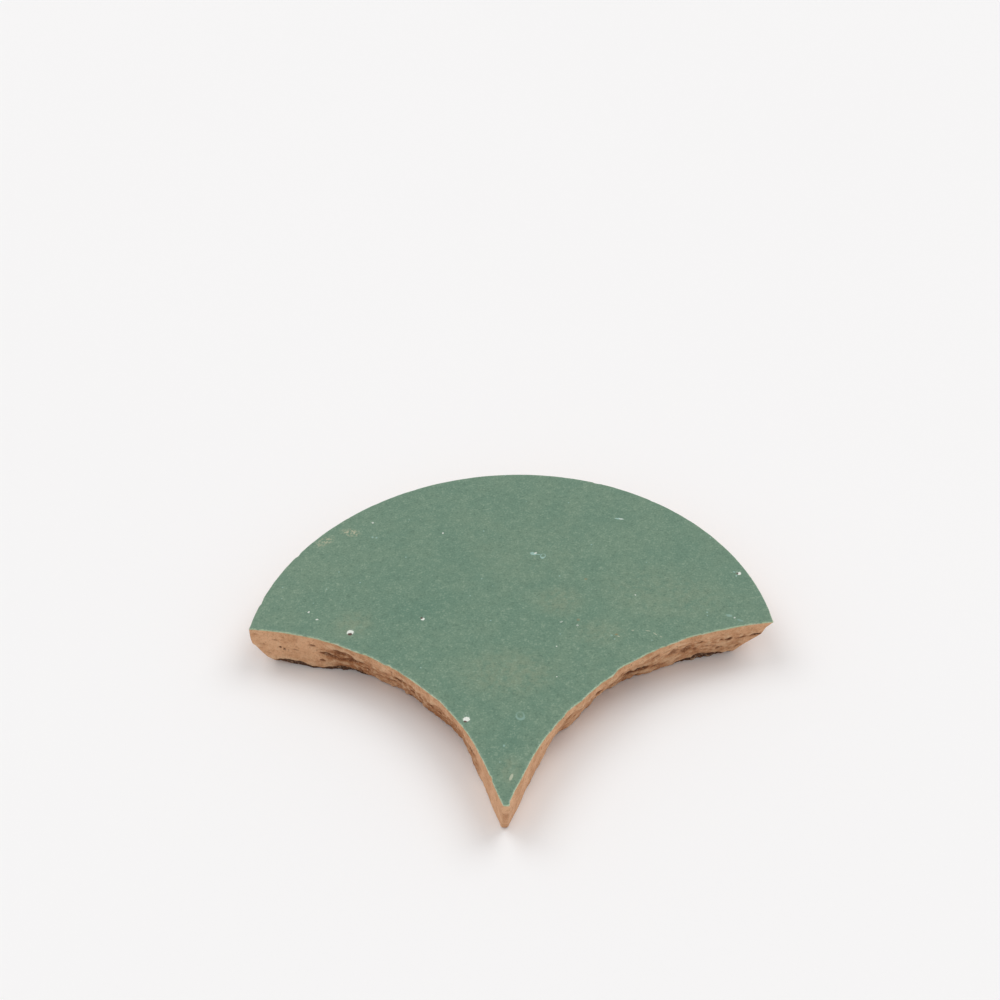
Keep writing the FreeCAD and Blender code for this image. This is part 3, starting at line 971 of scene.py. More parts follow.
@dataclass(frozen=True)
class GlazedFace:
    """The glazed face: a nearly flat sheet, gently wavy, with the burst bubbles as dents."""
    sheet: Sheet
    thickness: float
    wave_size: float = 32.0
    wave_depth: float = 0.16
    crater_depth: float = 0.16
    pinhole_depth: float = 0.2
    # The share of a dent's radius that its flat bottom takes
    dent_floor: float = 0.5
    # Points drawn together round a crater: how far, from where, and the share of the way to the rim
    gather: float = 0.85
    gather_reach: float = 7.0
    gather_margin: float = 0.9

    def waves(self, points: np.ndarray) -> np.ndarray:
        """How far the face sags below its highest point: wide smooth noise, from 0 down.

        Args:
            points: places, (..., 3).
        Returns:
            Depths, (...).
        """
        return self.wave_depth * Noise(FACE_SEED).raised(points * LEVEL, self.wave_size, layers=3)

    @staticmethod
    def craters() -> list[GlazeMark]:
        """The burst bubbles among the glaze's marks."""
        return [mark for mark in GLAZE_MARKS if mark.kind in (Blemish.CRATER, Blemish.PINHOLE)]

    def gathered(self, points: np.ndarray, ring: np.ndarray) -> np.ndarray:
        """Draws the sheet's points together round each crater, so that its dent is finely divided.

        A point at a share q of the crater's reach moves towards it by gather * (1 - q) squared.

        Args:
            points: the sheet's inner points, (rows, columns, 3).
            ring: the ring round the sheet, which no crater may reach.
        Returns:
            The moved points.
        """
        for mark in self.craters():
            centre = np.array([mark.x, mark.y])
            to_rim = np.hypot(*(ring[:, :2] - centre).T).min()
            reach = min(self.gather_reach, self.gather_margin * to_rim)
            away = points[..., :2] - centre
            share = np.clip(np.hypot(away[..., 0], away[..., 1]) / reach, 0, 1)
            points[..., :2] -= away * (self.gather * (1 - share) ** 2)[..., None]
        return points

    def dents(self, points: np.ndarray) -> np.ndarray:
        """Depth of the burst bubbles: shallow bowls with steep sides and flat bottoms.

        Each is as deep as its half width times its kind's depth.

        Args:
            points: places on the face, (..., 3).
        Returns:
            Depths, (...).
        """
        kinds = {Blemish.CRATER: self.crater_depth, Blemish.PINHOLE: self.pinhole_depth}
        return sum(kinds[mark.kind] * mark.half_width
                   * (1 - ease(mark.away(points), self.dent_floor, 1.0)) for mark in self.craters())

    def build(self, edge: Skin) -> Skin:
        """Rules the sheet inside the rim and dents it.

        Args:
            edge: the rim and side, whose first row is the ring round the sheet.
        Returns:
            The sheet's inner points.
        """
        points = self.gathered(self.sheet.ruled(edge.points[0]), edge.points[0])
        points[..., 2] = self.thickness - self.waves(points) - self.dents(points)
        plain = np.zeros(points.shape[:-1])
        return Skin(points, plain, plain, plain, plain)


@dataclass(frozen=True)
class ClayBack:
    """The back: a plain clay bed, rough from the drying floor, that stands on its high spots."""
    sheet: Sheet
    roughness: float = 0.35
    # The bed's noise: width of its spots, and how far it is raised before what is below 0 is cut off
    bed_size: float = 14.0
    bed_raise: float = 0.25
    lip_width: float = 8.0
    brown: float = 0.35

    def build(self, edge: Skin) -> Skin:
        """Rules the sheet inside the lower edge and roughens it.

        Away from the edge the height is noise from 0 up, and near it the height runs into the
        edge's own.

        Args:
            edge: the rim and side, whose last row is the ring round the sheet.
        Returns:
            The sheet's inner points.
        """
        ring, crown = edge.points[-1], self.sheet.path.crown_columns
        points = self.sheet.ruled(ring)
        noise = Noise(BACK_SEED).rough(points * LEVEL, self.bed_size, layers=5)
        bed = self.roughness * np.clip(noise + self.bed_raise, 0, 1)
        share = self.sheet.shares()[1:-1, None]
        across = ring[1:crown] - ring[:crown:-1]
        span = np.hypot(across[:, 0], across[:, 1])
        inside = ease(np.minimum(share, 1 - share) * span, 0.0, self.lip_width)
        points[..., 2] = points[..., 2] * (1 - inside) + bed * inside
        plain = np.zeros(points.shape[:-1])
        hollow = np.clip(bed / self.roughness, 0, 1) * inside
        return Skin(points, plain, hollow, plain, plain + self.brown)


@dataclass(frozen=True)
class BakeMap:
    """Where each part of the skin lies on the square map that its finish can be painted through."""
    path: RimPath
    margin: float = 0.015
    face_width: float = 0.68
    face_middle: float = 0.675
    back_width: float = 0.28
    strip_height: float = 0.15

    def face(self, points: np.ndarray) -> np.ndarray:
        """The face lies at the upper left, as seen from above."""
        middle = np.array([self.margin + self.face_width / 2, self.face_middle])
        return points[..., :2] * self.face_width / (2 * self.path.outline.half_width) + middle

    def back(self, points: np.ndarray) -> np.ndarray:
        """The back lies at the upper right, as seen from below."""
        middle = np.array([1 - self.margin - self.back_width / 2, self.face_middle])
        return points[..., :2] * MIRROR * self.back_width / (2 * self.path.outline.half_width) + middle

    def side(self, depths: np.ndarray) -> np.ndarray:
        """The side lies in two strips at the bottom: the crown's, and the flanks' above it.

        Args:
            depths: way down the profile of each row, from 0 to 1.
        Returns:
            Places of each quad's four corners, (rows - 1, columns, 4, 2).
        """
        crown = self.path.crown_columns
        column = np.arange(self.path.columns)
        step = np.array([0, 1, 1, 0])
        across = self.margin + (1 - 2 * self.margin) * ((column % crown)[:, None] + step) / crown
        bottom = self.margin + (column >= crown) * (self.strip_height + self.margin)
        down = np.stack([depths[:-1], depths[:-1], depths[1:], depths[1:]], axis=-1)
        up = bottom[None, :, None] + self.strip_height * (1 - down[:, None, :])
        return np.stack(np.broadcast_arrays(across[None], up), axis=-1)

    def places(self, points: np.ndarray, cells: dict[str, np.ndarray],
               depths: np.ndarray) -> np.ndarray:
        """The place on the map of every corner of every face.

        Args:
            points: places on the tile, (points, 3).
            cells: corner numbers of the faces, by the part's name, with the side first.
            depths: way down the profile of each row, from 0 to 1.
        Returns:
            Places, (corners, 2).
        """
        places = [self.side(depths).reshape(-1, 2)]
        for name, corners in list(cells.items())[1:]:
            flatten = self.back if "back" in name else self.face
            places.append(flatten(points[corners]).reshape(-1, 2))
        return np.concatenate(places)


class Sock:
    """A node's output, so that shader maths reads as Python expressions."""

    def __init__(self, bench: "NodeBench", socket: bpy.types.NodeSocket) -> None:
        """Keeps the socket and the bench that new nodes go on."""
        self.bench = bench
        self.socket = socket

    def __add__(self, other: "Number") -> "Sock":
        """Self plus other."""
        return self.bench.math("ADD", self, other)

    def __sub__(self, other: "Number") -> "Sock":
        """Self less other."""
        return self.bench.math("SUBTRACT", self, other)

    def __rsub__(self, other: "Number") -> "Sock":
        """Other less self."""
        return self.bench.math("SUBTRACT", other, self)

    def __mul__(self, other: "Number") -> "Sock":
        """Self times other."""
        return self.bench.math("MULTIPLY", self, other)

    __radd__ = __add__
    __rmul__ = __mul__

    def most(self, other: "Number") -> "Sock":
        """The greater of self and other."""
        return self.bench.math("MAXIMUM", self, other)

    def about(self, reach: float) -> "Sock":
        """Self, which runs from 0 to 1, made to swing about 0 over the given reach."""
        return (self - 0.5) * reach


Number = Union[Sock, float]
Colour = tuple[float, float, float, float]
Span = tuple[float, float, float]  # where a cover starts, where it is whole, and its strength there


@dataclass(frozen=True)
class Cloud:
    """Cloudy noise of 0 to 1: width of its spots, detail, roughness, and the span that covers."""
    size: float
    detail: float = 2.0
    roughness: float = 0.5
    span: Span = (0.0, 1.0, 1.0)


class NodeBench:
    """A node tree, and the ways of adding to it."""

    def __init__(self, tree: bpy.types.NodeTree) -> None:
        """Keeps the tree that new nodes go into."""
        self.tree = tree

    def fill(self, node: bpy.types.Node, sockets: dict) -> None:
        """Sets or links a node's inputs.

        Args:
            node: the node.
            sockets: a value or a Sock for each input's name or number.
        """
        for key, value in sockets.items():
            if isinstance(value, Sock):
                self.tree.links.new(value.socket, node.inputs[key])
            else:
                node.inputs[key].default_value = value

    def add(self, kind: str, settings: dict, sockets: dict, output: Union[int, str] = 0) -> Sock:
        """Adds any node.

        Args:
            kind: the node's type.
            settings: its own settings, which are set first.
            sockets: the values or links of its inputs.
            output: the name or number of the output that is wanted.
        Returns:
            That output.
        """
        node = self.tree.nodes.new(kind)
        for name, value in settings.items():
            setattr(node, name, value)
        self.fill(node, sockets)
        return Sock(self, node.outputs[output])

    def math(self, operation: str, *terms: Number) -> Sock:
        """One step of arithmetic."""
        return self.add("ShaderNodeMath", {"operation": operation}, dict(enumerate(terms)))

    def vector(self, operation: str, *terms: Union[Sock, tuple[float, float, float]]) -> Sock:
        """One step of arithmetic on places."""
        return self.add("ShaderNodeVectorMath", {"operation": operation}, dict(enumerate(terms)))

    def scaled(self, place: Sock, factor: float) -> Sock:
        """A place times a number."""
        return self.add("ShaderNodeVectorMath", {"operation": "SCALE"}, {0: place, "Scale": factor})

    def place(self) -> Sock:
        """The place on the tile in millimetres."""
        return self.scaled(self.add("ShaderNodeTexCoord", {}, {}, "Object"), 1 / MM)

    def attribute(self, name: str) -> Sock:
        """A number that the mesh holds at each point."""
        return self.add("ShaderNodeAttribute", {"attribute_name": name}, {}, "Fac")

    def noise(self, place: Sock, cloud: Cloud, output: Union[int, str] = 0) -> Sock:
        """A cloud's own noise, from 0 to 1."""
        return self.add("ShaderNodeTexNoise", {}, {
            "Vector": place, "Scale": 1 / cloud.size, "Detail": cloud.detail,
            "Roughness": cloud.roughness}, output)

    def cover(self, place: Sock, cloud: Cloud) -> Sock:
        """How much a cloud covers: its noise, eased over its span."""
        return self.rise(self.noise(place, cloud), *cloud.span)

    def rise(self, value: Sock, low: float, high: float, top: float = 1.0) -> Sock:
        """Eases a value from 0 at low to the top at high; low may be the greater."""
        return self.add("ShaderNodeMapRange", {"interpolation_type": "SMOOTHSTEP"}, {
            "Value": value, "From Min": low, "From Max": high, "To Max": top})

    def blend(self, share: Number, first: Union[Sock, Colour], second: Union[Sock, Colour]) -> Sock:
        """Lays a second colour over a first.

        Args:
            share: how much of the second shows.
            first, second: the colours.
        Returns:
            The mixed colour.
        """
        settings = {"data_type": "RGBA", "blend_type": "MIX", "clamp_factor": True}
        return self.add("ShaderNodeMix", settings, {0: share, 6: first, 7: second}, 2)

    def spots(self, place: Sock, size: float, share: float, reach: float, strength: float) -> Sock:
        """Small round spots in a chance share of the cells of a given size.

        Args:
            place: the place that the cells lie in.
            size: width of a cell.
            share: the share of the cells that have a spot.
            reach: the spot's radius as a share of the cell, whole in its inner half.
            strength: the spot's strength.
        Returns:
            The strength in a spot and 0 outside.
        """
        cells = {"Vector": place, "Scale": 1 / size}
        away = self.add("ShaderNodeTexVoronoi", {}, cells, "Distance")
        chance = self.add("ShaderNodeSeparateColor", {}, {
            0: self.add("ShaderNodeTexVoronoi", {}, cells, "Color")})
        return self.rise(away, reach, reach / 2, strength) * self.math("LESS_THAN", chance, share)

    def bump(self, height: Sock, strength: float, distance: float) -> Sock:
        """A fine relief for the shader's normal, its distance in millimetres."""
        return self.add("ShaderNodeBump", {}, {
            "Height": height, "Strength": strength, "Distance": distance * MM})


def new_finish(name: str) -> tuple[bpy.types.Material, NodeBench, bpy.types.Node]:
    """Starts a material with its one shader.

    Args:
        name: the material's name.
    Returns:
        The material, its bench and its shader.
    """
    material = bpy.data.materials.new(name)
    material.use_nodes = True
    return material, NodeBench(material.node_tree), material.node_tree.nodes["Principled BSDF"]


@dataclass(frozen=True)
class SeaGreenGlaze:
    """Glossy, mottled sea-green glaze with fine specks, a worn pale rim and its firing faults."""
    deep: Colour = srgb(96, 128, 107)
    light: Colour = srgb(103, 132, 110)
    warm: Colour = srgb(121, 138, 113)
    shade: Colour = srgb(74, 104, 84)
    speck: Colour = srgb(140, 161, 138)
    rim: Colour = srgb(176, 196, 160)
    cream: Colour = srgb(205, 204, 178)
    white: Colour = srgb(228, 231, 222)
    milk: Colour = srgb(150, 184, 174)
    scuff: Colour = srgb(186, 182, 152)
    rust: Colour = srgb(138, 124, 84)
    thick: Colour = srgb(87, 123, 103)
    # The holes' clay, much darker than the clay body: painted shade in the burst bubbles
    clay: Colour = srgb(72, 46, 32)
    mottle: Cloud = Cloud(7.0, 3.0, 0.6, (0.35, 0.65, 1.0))
    clouds: Cloud = Cloud(26.0, 2.0, 0.55, (0.5, 0.75, 0.25))
    patches: Cloud = Cloud(1.6, 3.0, 0.6, (0.25, 0.65, 1.0))
    cloudiness: float = 0.75
    # The grain is fine and coarse noise, with its light and its dark side
    fine_grain: Cloud = Cloud(0.45, 2.0, 0.6)
    coarse_grain: Cloud = Cloud(1.3, 2.0, 0.6)
    fine_share: float = 0.6
    light_side: Span = (0.5, 0.72, 0.65)
    dark_side: Span = (0.5, 0.3, 0.65)
    # Scattered specks: cell width, share of the cells that have one, radius in the cell, strength
    pale_specks: tuple[float, ...] = (1.4, 0.2, 0.17, 0.55)
    milky_specks: tuple[float, ...] = (2.6, 0.12, 0.1, 0.6)
    white_specks: tuple[float, ...] = (5.0, 0.14, 0.045, 0.7)
    # The swirl that makes the blemishes ragged, and how far it moves a place
    swirl: Cloud = Cloud(0.7)
    swirl_reach: float = 0.45
    scuffs: Cloud = Cloud(0.6, 3.0, 0.6, (0.44, 0.62, 0.8))
    # The bare hole of each burst bubble, laid in the dark clay colour as painted shade: its radius,
    # and its shift along the turn
    holes: tuple[tuple[Blemish, float, float], ...] = (
        (Blemish.CRATER, 0.7, 0.32), (Blemish.PINHOLE, 0.55, 0.6))
    # The rim's wear and its chips, each with how far its noise swings
    wear: Cloud = Cloud(1.1, 4.0, 0.65, (0.45, 1.0, 0.9))
    wear_swing: float = 2.2
    chips: Cloud = Cloud(1.3, 3.0, 0.65, (0.95, 1.25, 0.8))
    chip_swing: float = 1.8
    # Orange peel: its noise and what it adds to the roughness, strength and depth of its relief
    peel: Cloud = Cloud(2.4, span=(0.2, 0.8, 0.06))
    peel_strength: float = 0.25
    peel_depth: float = 0.05
    # Roughness of the sound glaze, and what burst bubbles and the rim add to it
    roughness: float = 0.16
    burst_roughness: float = 0.4
    rim_roughness: float = 0.3
    ior: float = 1.5

    @staticmethod
    def mask(bench: NodeBench, place: Sock, kind: Blemish, reach: float = 1.0, edge: float = 0.6,
             shift: float = 0.0, strength: float = 1.0) -> Sock:
        """The strength of every blemish of a kind in it, and 0 outside.

        Each ellipse is moved to the origin, turned level and scaled to a unit circle first.

        Args:
            bench: the material's nodes.
            place: the place on the tile, in millimetres.
            kind: the blemish.
            reach: its radius on the unit circle.
            edge: the share of the radius at which it is whole.
            shift: how far its middle lies along its turn.
            strength: what each mark's own strength is multiplied by.
        Returns:
            The mask.
        """
        total: Number = 0.0
        for mark in GLAZE_MARKS:
            if mark.kind is not kind:
                continue
            local = bench.add("ShaderNodeMapping", {"vector_type": "TEXTURE"}, {
                "Vector": place, "Location": (mark.x, mark.y, 0.0),
                "Rotation": (0.0, 0.0, np.radians(mark.turn)),
                "Scale": (mark.half_length, mark.half_width, FLATTEN)})
            away = bench.add("ShaderNodeVectorMath", {"operation": "DISTANCE"}, {
                0: local, 1: (shift, 0.0, 0.0)}, "Value")
            total = bench.rise(away, reach, edge * reach, mark.strength * strength) + total
        return total

    def body(self, bench: NodeBench, place: Sock) -> Sock:
        """The sound glaze: mottle, warm clouds, one of them a painted sheen, and deep clouds, then
        fine light and dark grain and specks.

        Args:
            bench: the material's nodes.
            place: the place on the tile, in millimetres.
        Returns:
            The colour.
        """
        colour = bench.blend(bench.cover(place, self.mottle), self.deep, self.light)
        thin_and_sheen = bench.cover(place, self.clouds) + self.mask(bench, place, Blemish.THIN_GLAZE_AND_SHEEN, edge=0.2)
        patchy = bench.cover(place, self.patches) * self.cloudiness
        colour = bench.blend(thin_and_sheen * patchy, colour, self.warm)
        thick = self.mask(bench, place, Blemish.DEEP_CLOUD, edge=0.0, strength=0.75)
        colour = bench.blend(thick, colour, self.thick)
        fine, coarse = (bench.noise(place, cloud) for cloud in (self.fine_grain, self.coarse_grain))
        grain = fine * self.fine_share + coarse * (1 - self.fine_share)
        colour = bench.blend(bench.rise(grain, *self.light_side), colour, self.speck)
        colour = bench.blend(bench.rise(grain, *self.dark_side), colour, self.shade)
        colour = bench.blend(bench.spots(place, *self.pale_specks), colour, self.speck)
        shifted = bench.vector("ADD", place, SPECK_SHIFT)
        colour = bench.blend(bench.spots(shifted, *self.milky_specks), colour, self.milk)
        return bench.blend(bench.spots(place, *self.white_specks), colour, self.white)

    def blemished(self, bench: NodeBench, place: Sock, colour: Sock) -> Sock:
        """Lays the blemishes over the sound glaze, most of them with ragged edges.

        Args:
            bench: the material's nodes.
            place: the place on the tile, in millimetres.
            colour: the sound glaze.
        Returns:
            The colour.
        """
        swirl = bench.vector("SUBTRACT", bench.noise(place, self.swirl, "Color"), MID_NOISE)
        ragged = bench.vector("ADD", place, bench.scaled(swirl, self.swirl_reach))
        rubbed = self.mask(bench, ragged, Blemish.RUB, edge=0.3) * bench.cover(place, self.scuffs)
        ring = self.mask(bench, ragged, Blemish.MILKY_RING, 1.05, edge=0.7, strength=0.9)
        inner = self.mask(bench, ragged, Blemish.MILKY_RING, 0.82, edge=0.5, shift=0.2, strength=0.9)
        for share, over in (
                (rubbed, self.scuff),
                (self.mask(bench, ragged, Blemish.PALE_MARK, strength=0.9), self.milk),
                (ring - inner, self.milk),
                (self.mask(bench, ragged, Blemish.IRON_FLECK), self.rust),
                (self.mask(bench, place, Blemish.SCRATCH, strength=0.75), self.cream),
                (self.mask(bench, ragged, Blemish.WHITE_DOT, strength=0.8), self.white)):
            colour = bench.blend(share, colour, over)
        for kind, reach, shift in self.holes:
            wall = self.mask(bench, ragged, kind, reach=0.9, edge=0.7, shift=-0.2)
            colour = bench.blend(wall, colour, self.white)
            # Painted shade: the hole takes the dark clay colour
            hole = self.mask(bench, ragged, kind, reach, edge=0.5, shift=shift)
            colour = bench.blend(hole, colour, self.clay)
        return colour

    def dress(self) -> bpy.types.Material:
        """Makes the material: gloss over the mottled colour, a worn rim and a faint orange peel.

        Returns:
            The material.
        """
        material, bench, shader = new_finish("sea_green_glaze")
        place, rim = bench.place(), bench.attribute("rim")
        colour = self.blemished(bench, place, self.body(bench, place))
        for cloud, swing, over in ((self.wear, self.wear_swing, self.rim),
                                   (self.chips, self.chip_swing, self.cream)):
            worn = rim + bench.noise(place, cloud).about(swing)
            colour = bench.blend(bench.rise(worn, *cloud.span), colour, over)
        peel = bench.noise(place, self.peel)
        burst = self.mask(bench, place, Blemish.CRATER) + self.mask(bench, place, Blemish.PINHOLE)
        dull = burst * self.burst_roughness + rim * self.rim_roughness
        bench.fill(shader, {
            "Base Color": colour,
            "Roughness": bench.rise(peel, *self.peel.span) + dull + self.roughness,
            "IOR": self.ior,
            "Normal": bench.bump(peel, self.peel_strength, self.peel_depth)})
        return material


@dataclass(frozen=True)
class BareTerracotta:
    """Low-fired clay: pale and dusty on its ridges, red-brown in its hollows as painted shade, with
    fine grit.
    """
    pale: Colour = srgb(225, 176, 136)
    body: Colour = srgb(202, 150, 109)
    red: Colour = srgb(163, 106, 64)
    brown: Colour = srgb(114, 67, 36)
    dark: Colour = srgb(54, 28, 15)
    dust: Colour = srgb(229, 193, 155)
    clouds: Cloud = Cloud(5.0, 4.0, 0.6, (0.35, 0.65, 0.8))
    streaks: Cloud = Cloud(2.2, 4.0, 0.65, (0.1, 0.5, 1.0))
    streak_squeeze: tuple[float, float, float] = (1.0, 1.0, 3.0)
    # Broken clay is red: how far streaks and clouds swing it, and the cover that this gives
    streak_swing: float = 1.1
    cloud_swing: float = 0.6
    broken: Span = (0.05, 0.95, 1.0)
    # Hollows are brown as painted shade, stains brown, deep stains dark, which paints the shade under
    # the lip and in pits, and ridges dusty
    sunk: Span = (0.0, 1.0, 0.9)
    sunk_least: float = 0.25
    deep: Span = (0.05, 0.9, 0.9)
    dark_stain_and_shade: Span = (0.75, 1.0, 0.85)
    ridge: Span = (-0.1, -0.8, 0.45)
    # Grain and finer grit, each with a dark and a dusty side
    grain: Cloud = Cloud(0.95, 3.0, 0.6)
    grit: Cloud = Cloud(0.4, 3.0, 0.7)
    dark_side: Span = (0.47, 0.27, 0.5)
    dusty_side: Span = (0.53, 0.73, 0.45)
    # Scattered grit: cell width, share of the cells that have it, radius in the cell, strength
    pale_grit: tuple[float, ...] = (1.5, 0.16, 0.12, 0.7)
    dark_grit: tuple[float, ...] = (1.9, 0.16, 0.11, 0.75)
    # The gritty relief: its bumps, the grit's share in it, strength and depth
    bumps: Cloud = Cloud(0.9, 3.0, 0.6)
    grit_share: float = 0.5
    relief_strength: float = 0.8
    relief_depth: float = 0.32
    roughness: float = 0.82
    grit_roughness: Span = (0.2, 0.8, 0.1)
    ior: float = 1.45

    def colour(self, bench: NodeBench, place: Sock, grit: Sock) -> Sock:
        """Clouds of body colour, redder where broken, brown in hollows as painted shade, brown stains
        and dark painted shade in recesses, dust on ridges, then grit.

        Args:
            bench: the material's nodes.
            place: the place on the tile, in millimetres.
            grit: the grit's noise.
        Returns:
            The colour.
        """
        hollow, stain_and_shade, brown = (bench.attribute(name) for name in ("hollow", "stain_and_shade", "brown"))
        clouds = bench.noise(place, self.clouds)
        flat = bench.add("ShaderNodeMapping", {}, {"Vector": place, "Scale": self.streak_squeeze})
        streaks = bench.noise(flat, self.streaks)
        broken = brown + streaks.about(self.streak_swing) + clouds.about(self.cloud_swing)
        # Painted shade: hollows are browned
        sunk = bench.rise(hollow, *self.sunk) * (brown + self.sunk_least)
        deep = stain_and_shade * bench.rise(streaks, *self.streaks.span) + sunk
        grains = bench.noise(place, self.grain)
        shifted = bench.vector("ADD", place, GRIT_SHIFT)
        colour = self.pale
        for share, over in (
                (bench.rise(clouds, *self.clouds.span), self.body),
                (bench.rise(broken, *self.broken), self.red),
                # Brown over hollows and stains, and dark over the deepest stains, are partly painted
                # shade
                (bench.rise(deep, *self.deep), self.brown),
                (bench.rise(stain_and_shade, *self.dark_stain_and_shade), self.dark),
                (bench.rise(hollow, *self.ridge), self.dust),
                (bench.rise(grains, *self.dark_side), self.red),
                (bench.rise(grains, *self.dusty_side), self.dust),
                (bench.rise(grit, *self.dark_side), self.brown),
                (bench.rise(grit, *self.dusty_side), self.dust),
                (bench.spots(place, *self.pale_grit), self.dust),
                (bench.spots(shifted, *self.dark_grit), self.dark)):
            colour = bench.blend(share, colour, over)
        return colour

    def dress(self) -> bpy.types.Material:
        """Makes the material: dry and matt, with a gritty relief.

        Returns:
            The material.
        """
        material, bench, shader = new_finish("bare_terracotta")
        place = bench.place()
        grit = bench.noise(place, self.grit)
        relief = grit * self.grit_share + bench.noise(place, self.bumps)
        bench.fill(shader, {
            "Base Color": self.colour(bench, place, grit),
            "Roughness": bench.rise(grit, *self.grit_roughness) + self.roughness,
            "IOR": self.ior,
            "Normal": bench.bump(relief, self.relief_strength, self.relief_depth)})
        return material


@dataclass(frozen=True)
class PaleTable:
    """The plain pale table top that the tile lies on."""
    colour: Colour = srgb(248, 247, 247)
    shade: Colour = srgb(246, 245, 245)
    cloud: Cloud = Cloud(220.0)
    roughness: float = 0.85
    gloss: float = 0.2
    half_size: float = 4000.0
    lines: int = 9
    gap: float = 0.02

    def build(self) -> bpy.types.Object:
        """Makes the level sheet just under the tile's back, a grid of two parameters.

        Returns:
            The table top.
        """
        ruler = np.linspace(-self.half_size, self.half_size, self.lines)
        x, y = np.meshgrid(ruler, ruler)
        points = np.stack([x, y, np.full_like(x, -self.gap)], axis=-1).reshape(-1, 3) * MM
        grid = np.arange(points.shape[0]).reshape(x.shape)
        mesh = bpy.data.meshes.new("table_top")
        mesh.from_pydata(points.tolist(), [], quads(grid).reshape(-1, 4).tolist())
        mesh.materials.append(self.dress())
        table = bpy.data.objects.new("table_top", mesh)
        bpy.context.scene.collection.objects.link(table)
        return table

    def dress(self) -> bpy.types.Material:
        """Makes the material: matt and nearly even.

        Returns:
            The material.
        """
        material, bench, shader = new_finish("pale_table_top")
        cloud = bench.noise(bench.place(), self.cloud)
        bench.fill(shader, {
            "Base Color": bench.blend(cloud, self.colour, self.shade),
            "Roughness": self.roughness,
            "Specular IOR Level": self.gloss})
        return material


def quads(grid: np.ndarray) -> np.ndarray:
    """The four corners of every cell of a grid of point numbers, in order round the cell.

    Args:
        grid: point numbers, (rows, columns).
    Returns:
        Corner numbers, (rows - 1, columns - 1, 4).
    """
    return np.stack([grid[:-1, :-1], grid[:-1, 1:], grid[1:, 1:], grid[1:, :-1]], axis=-1)


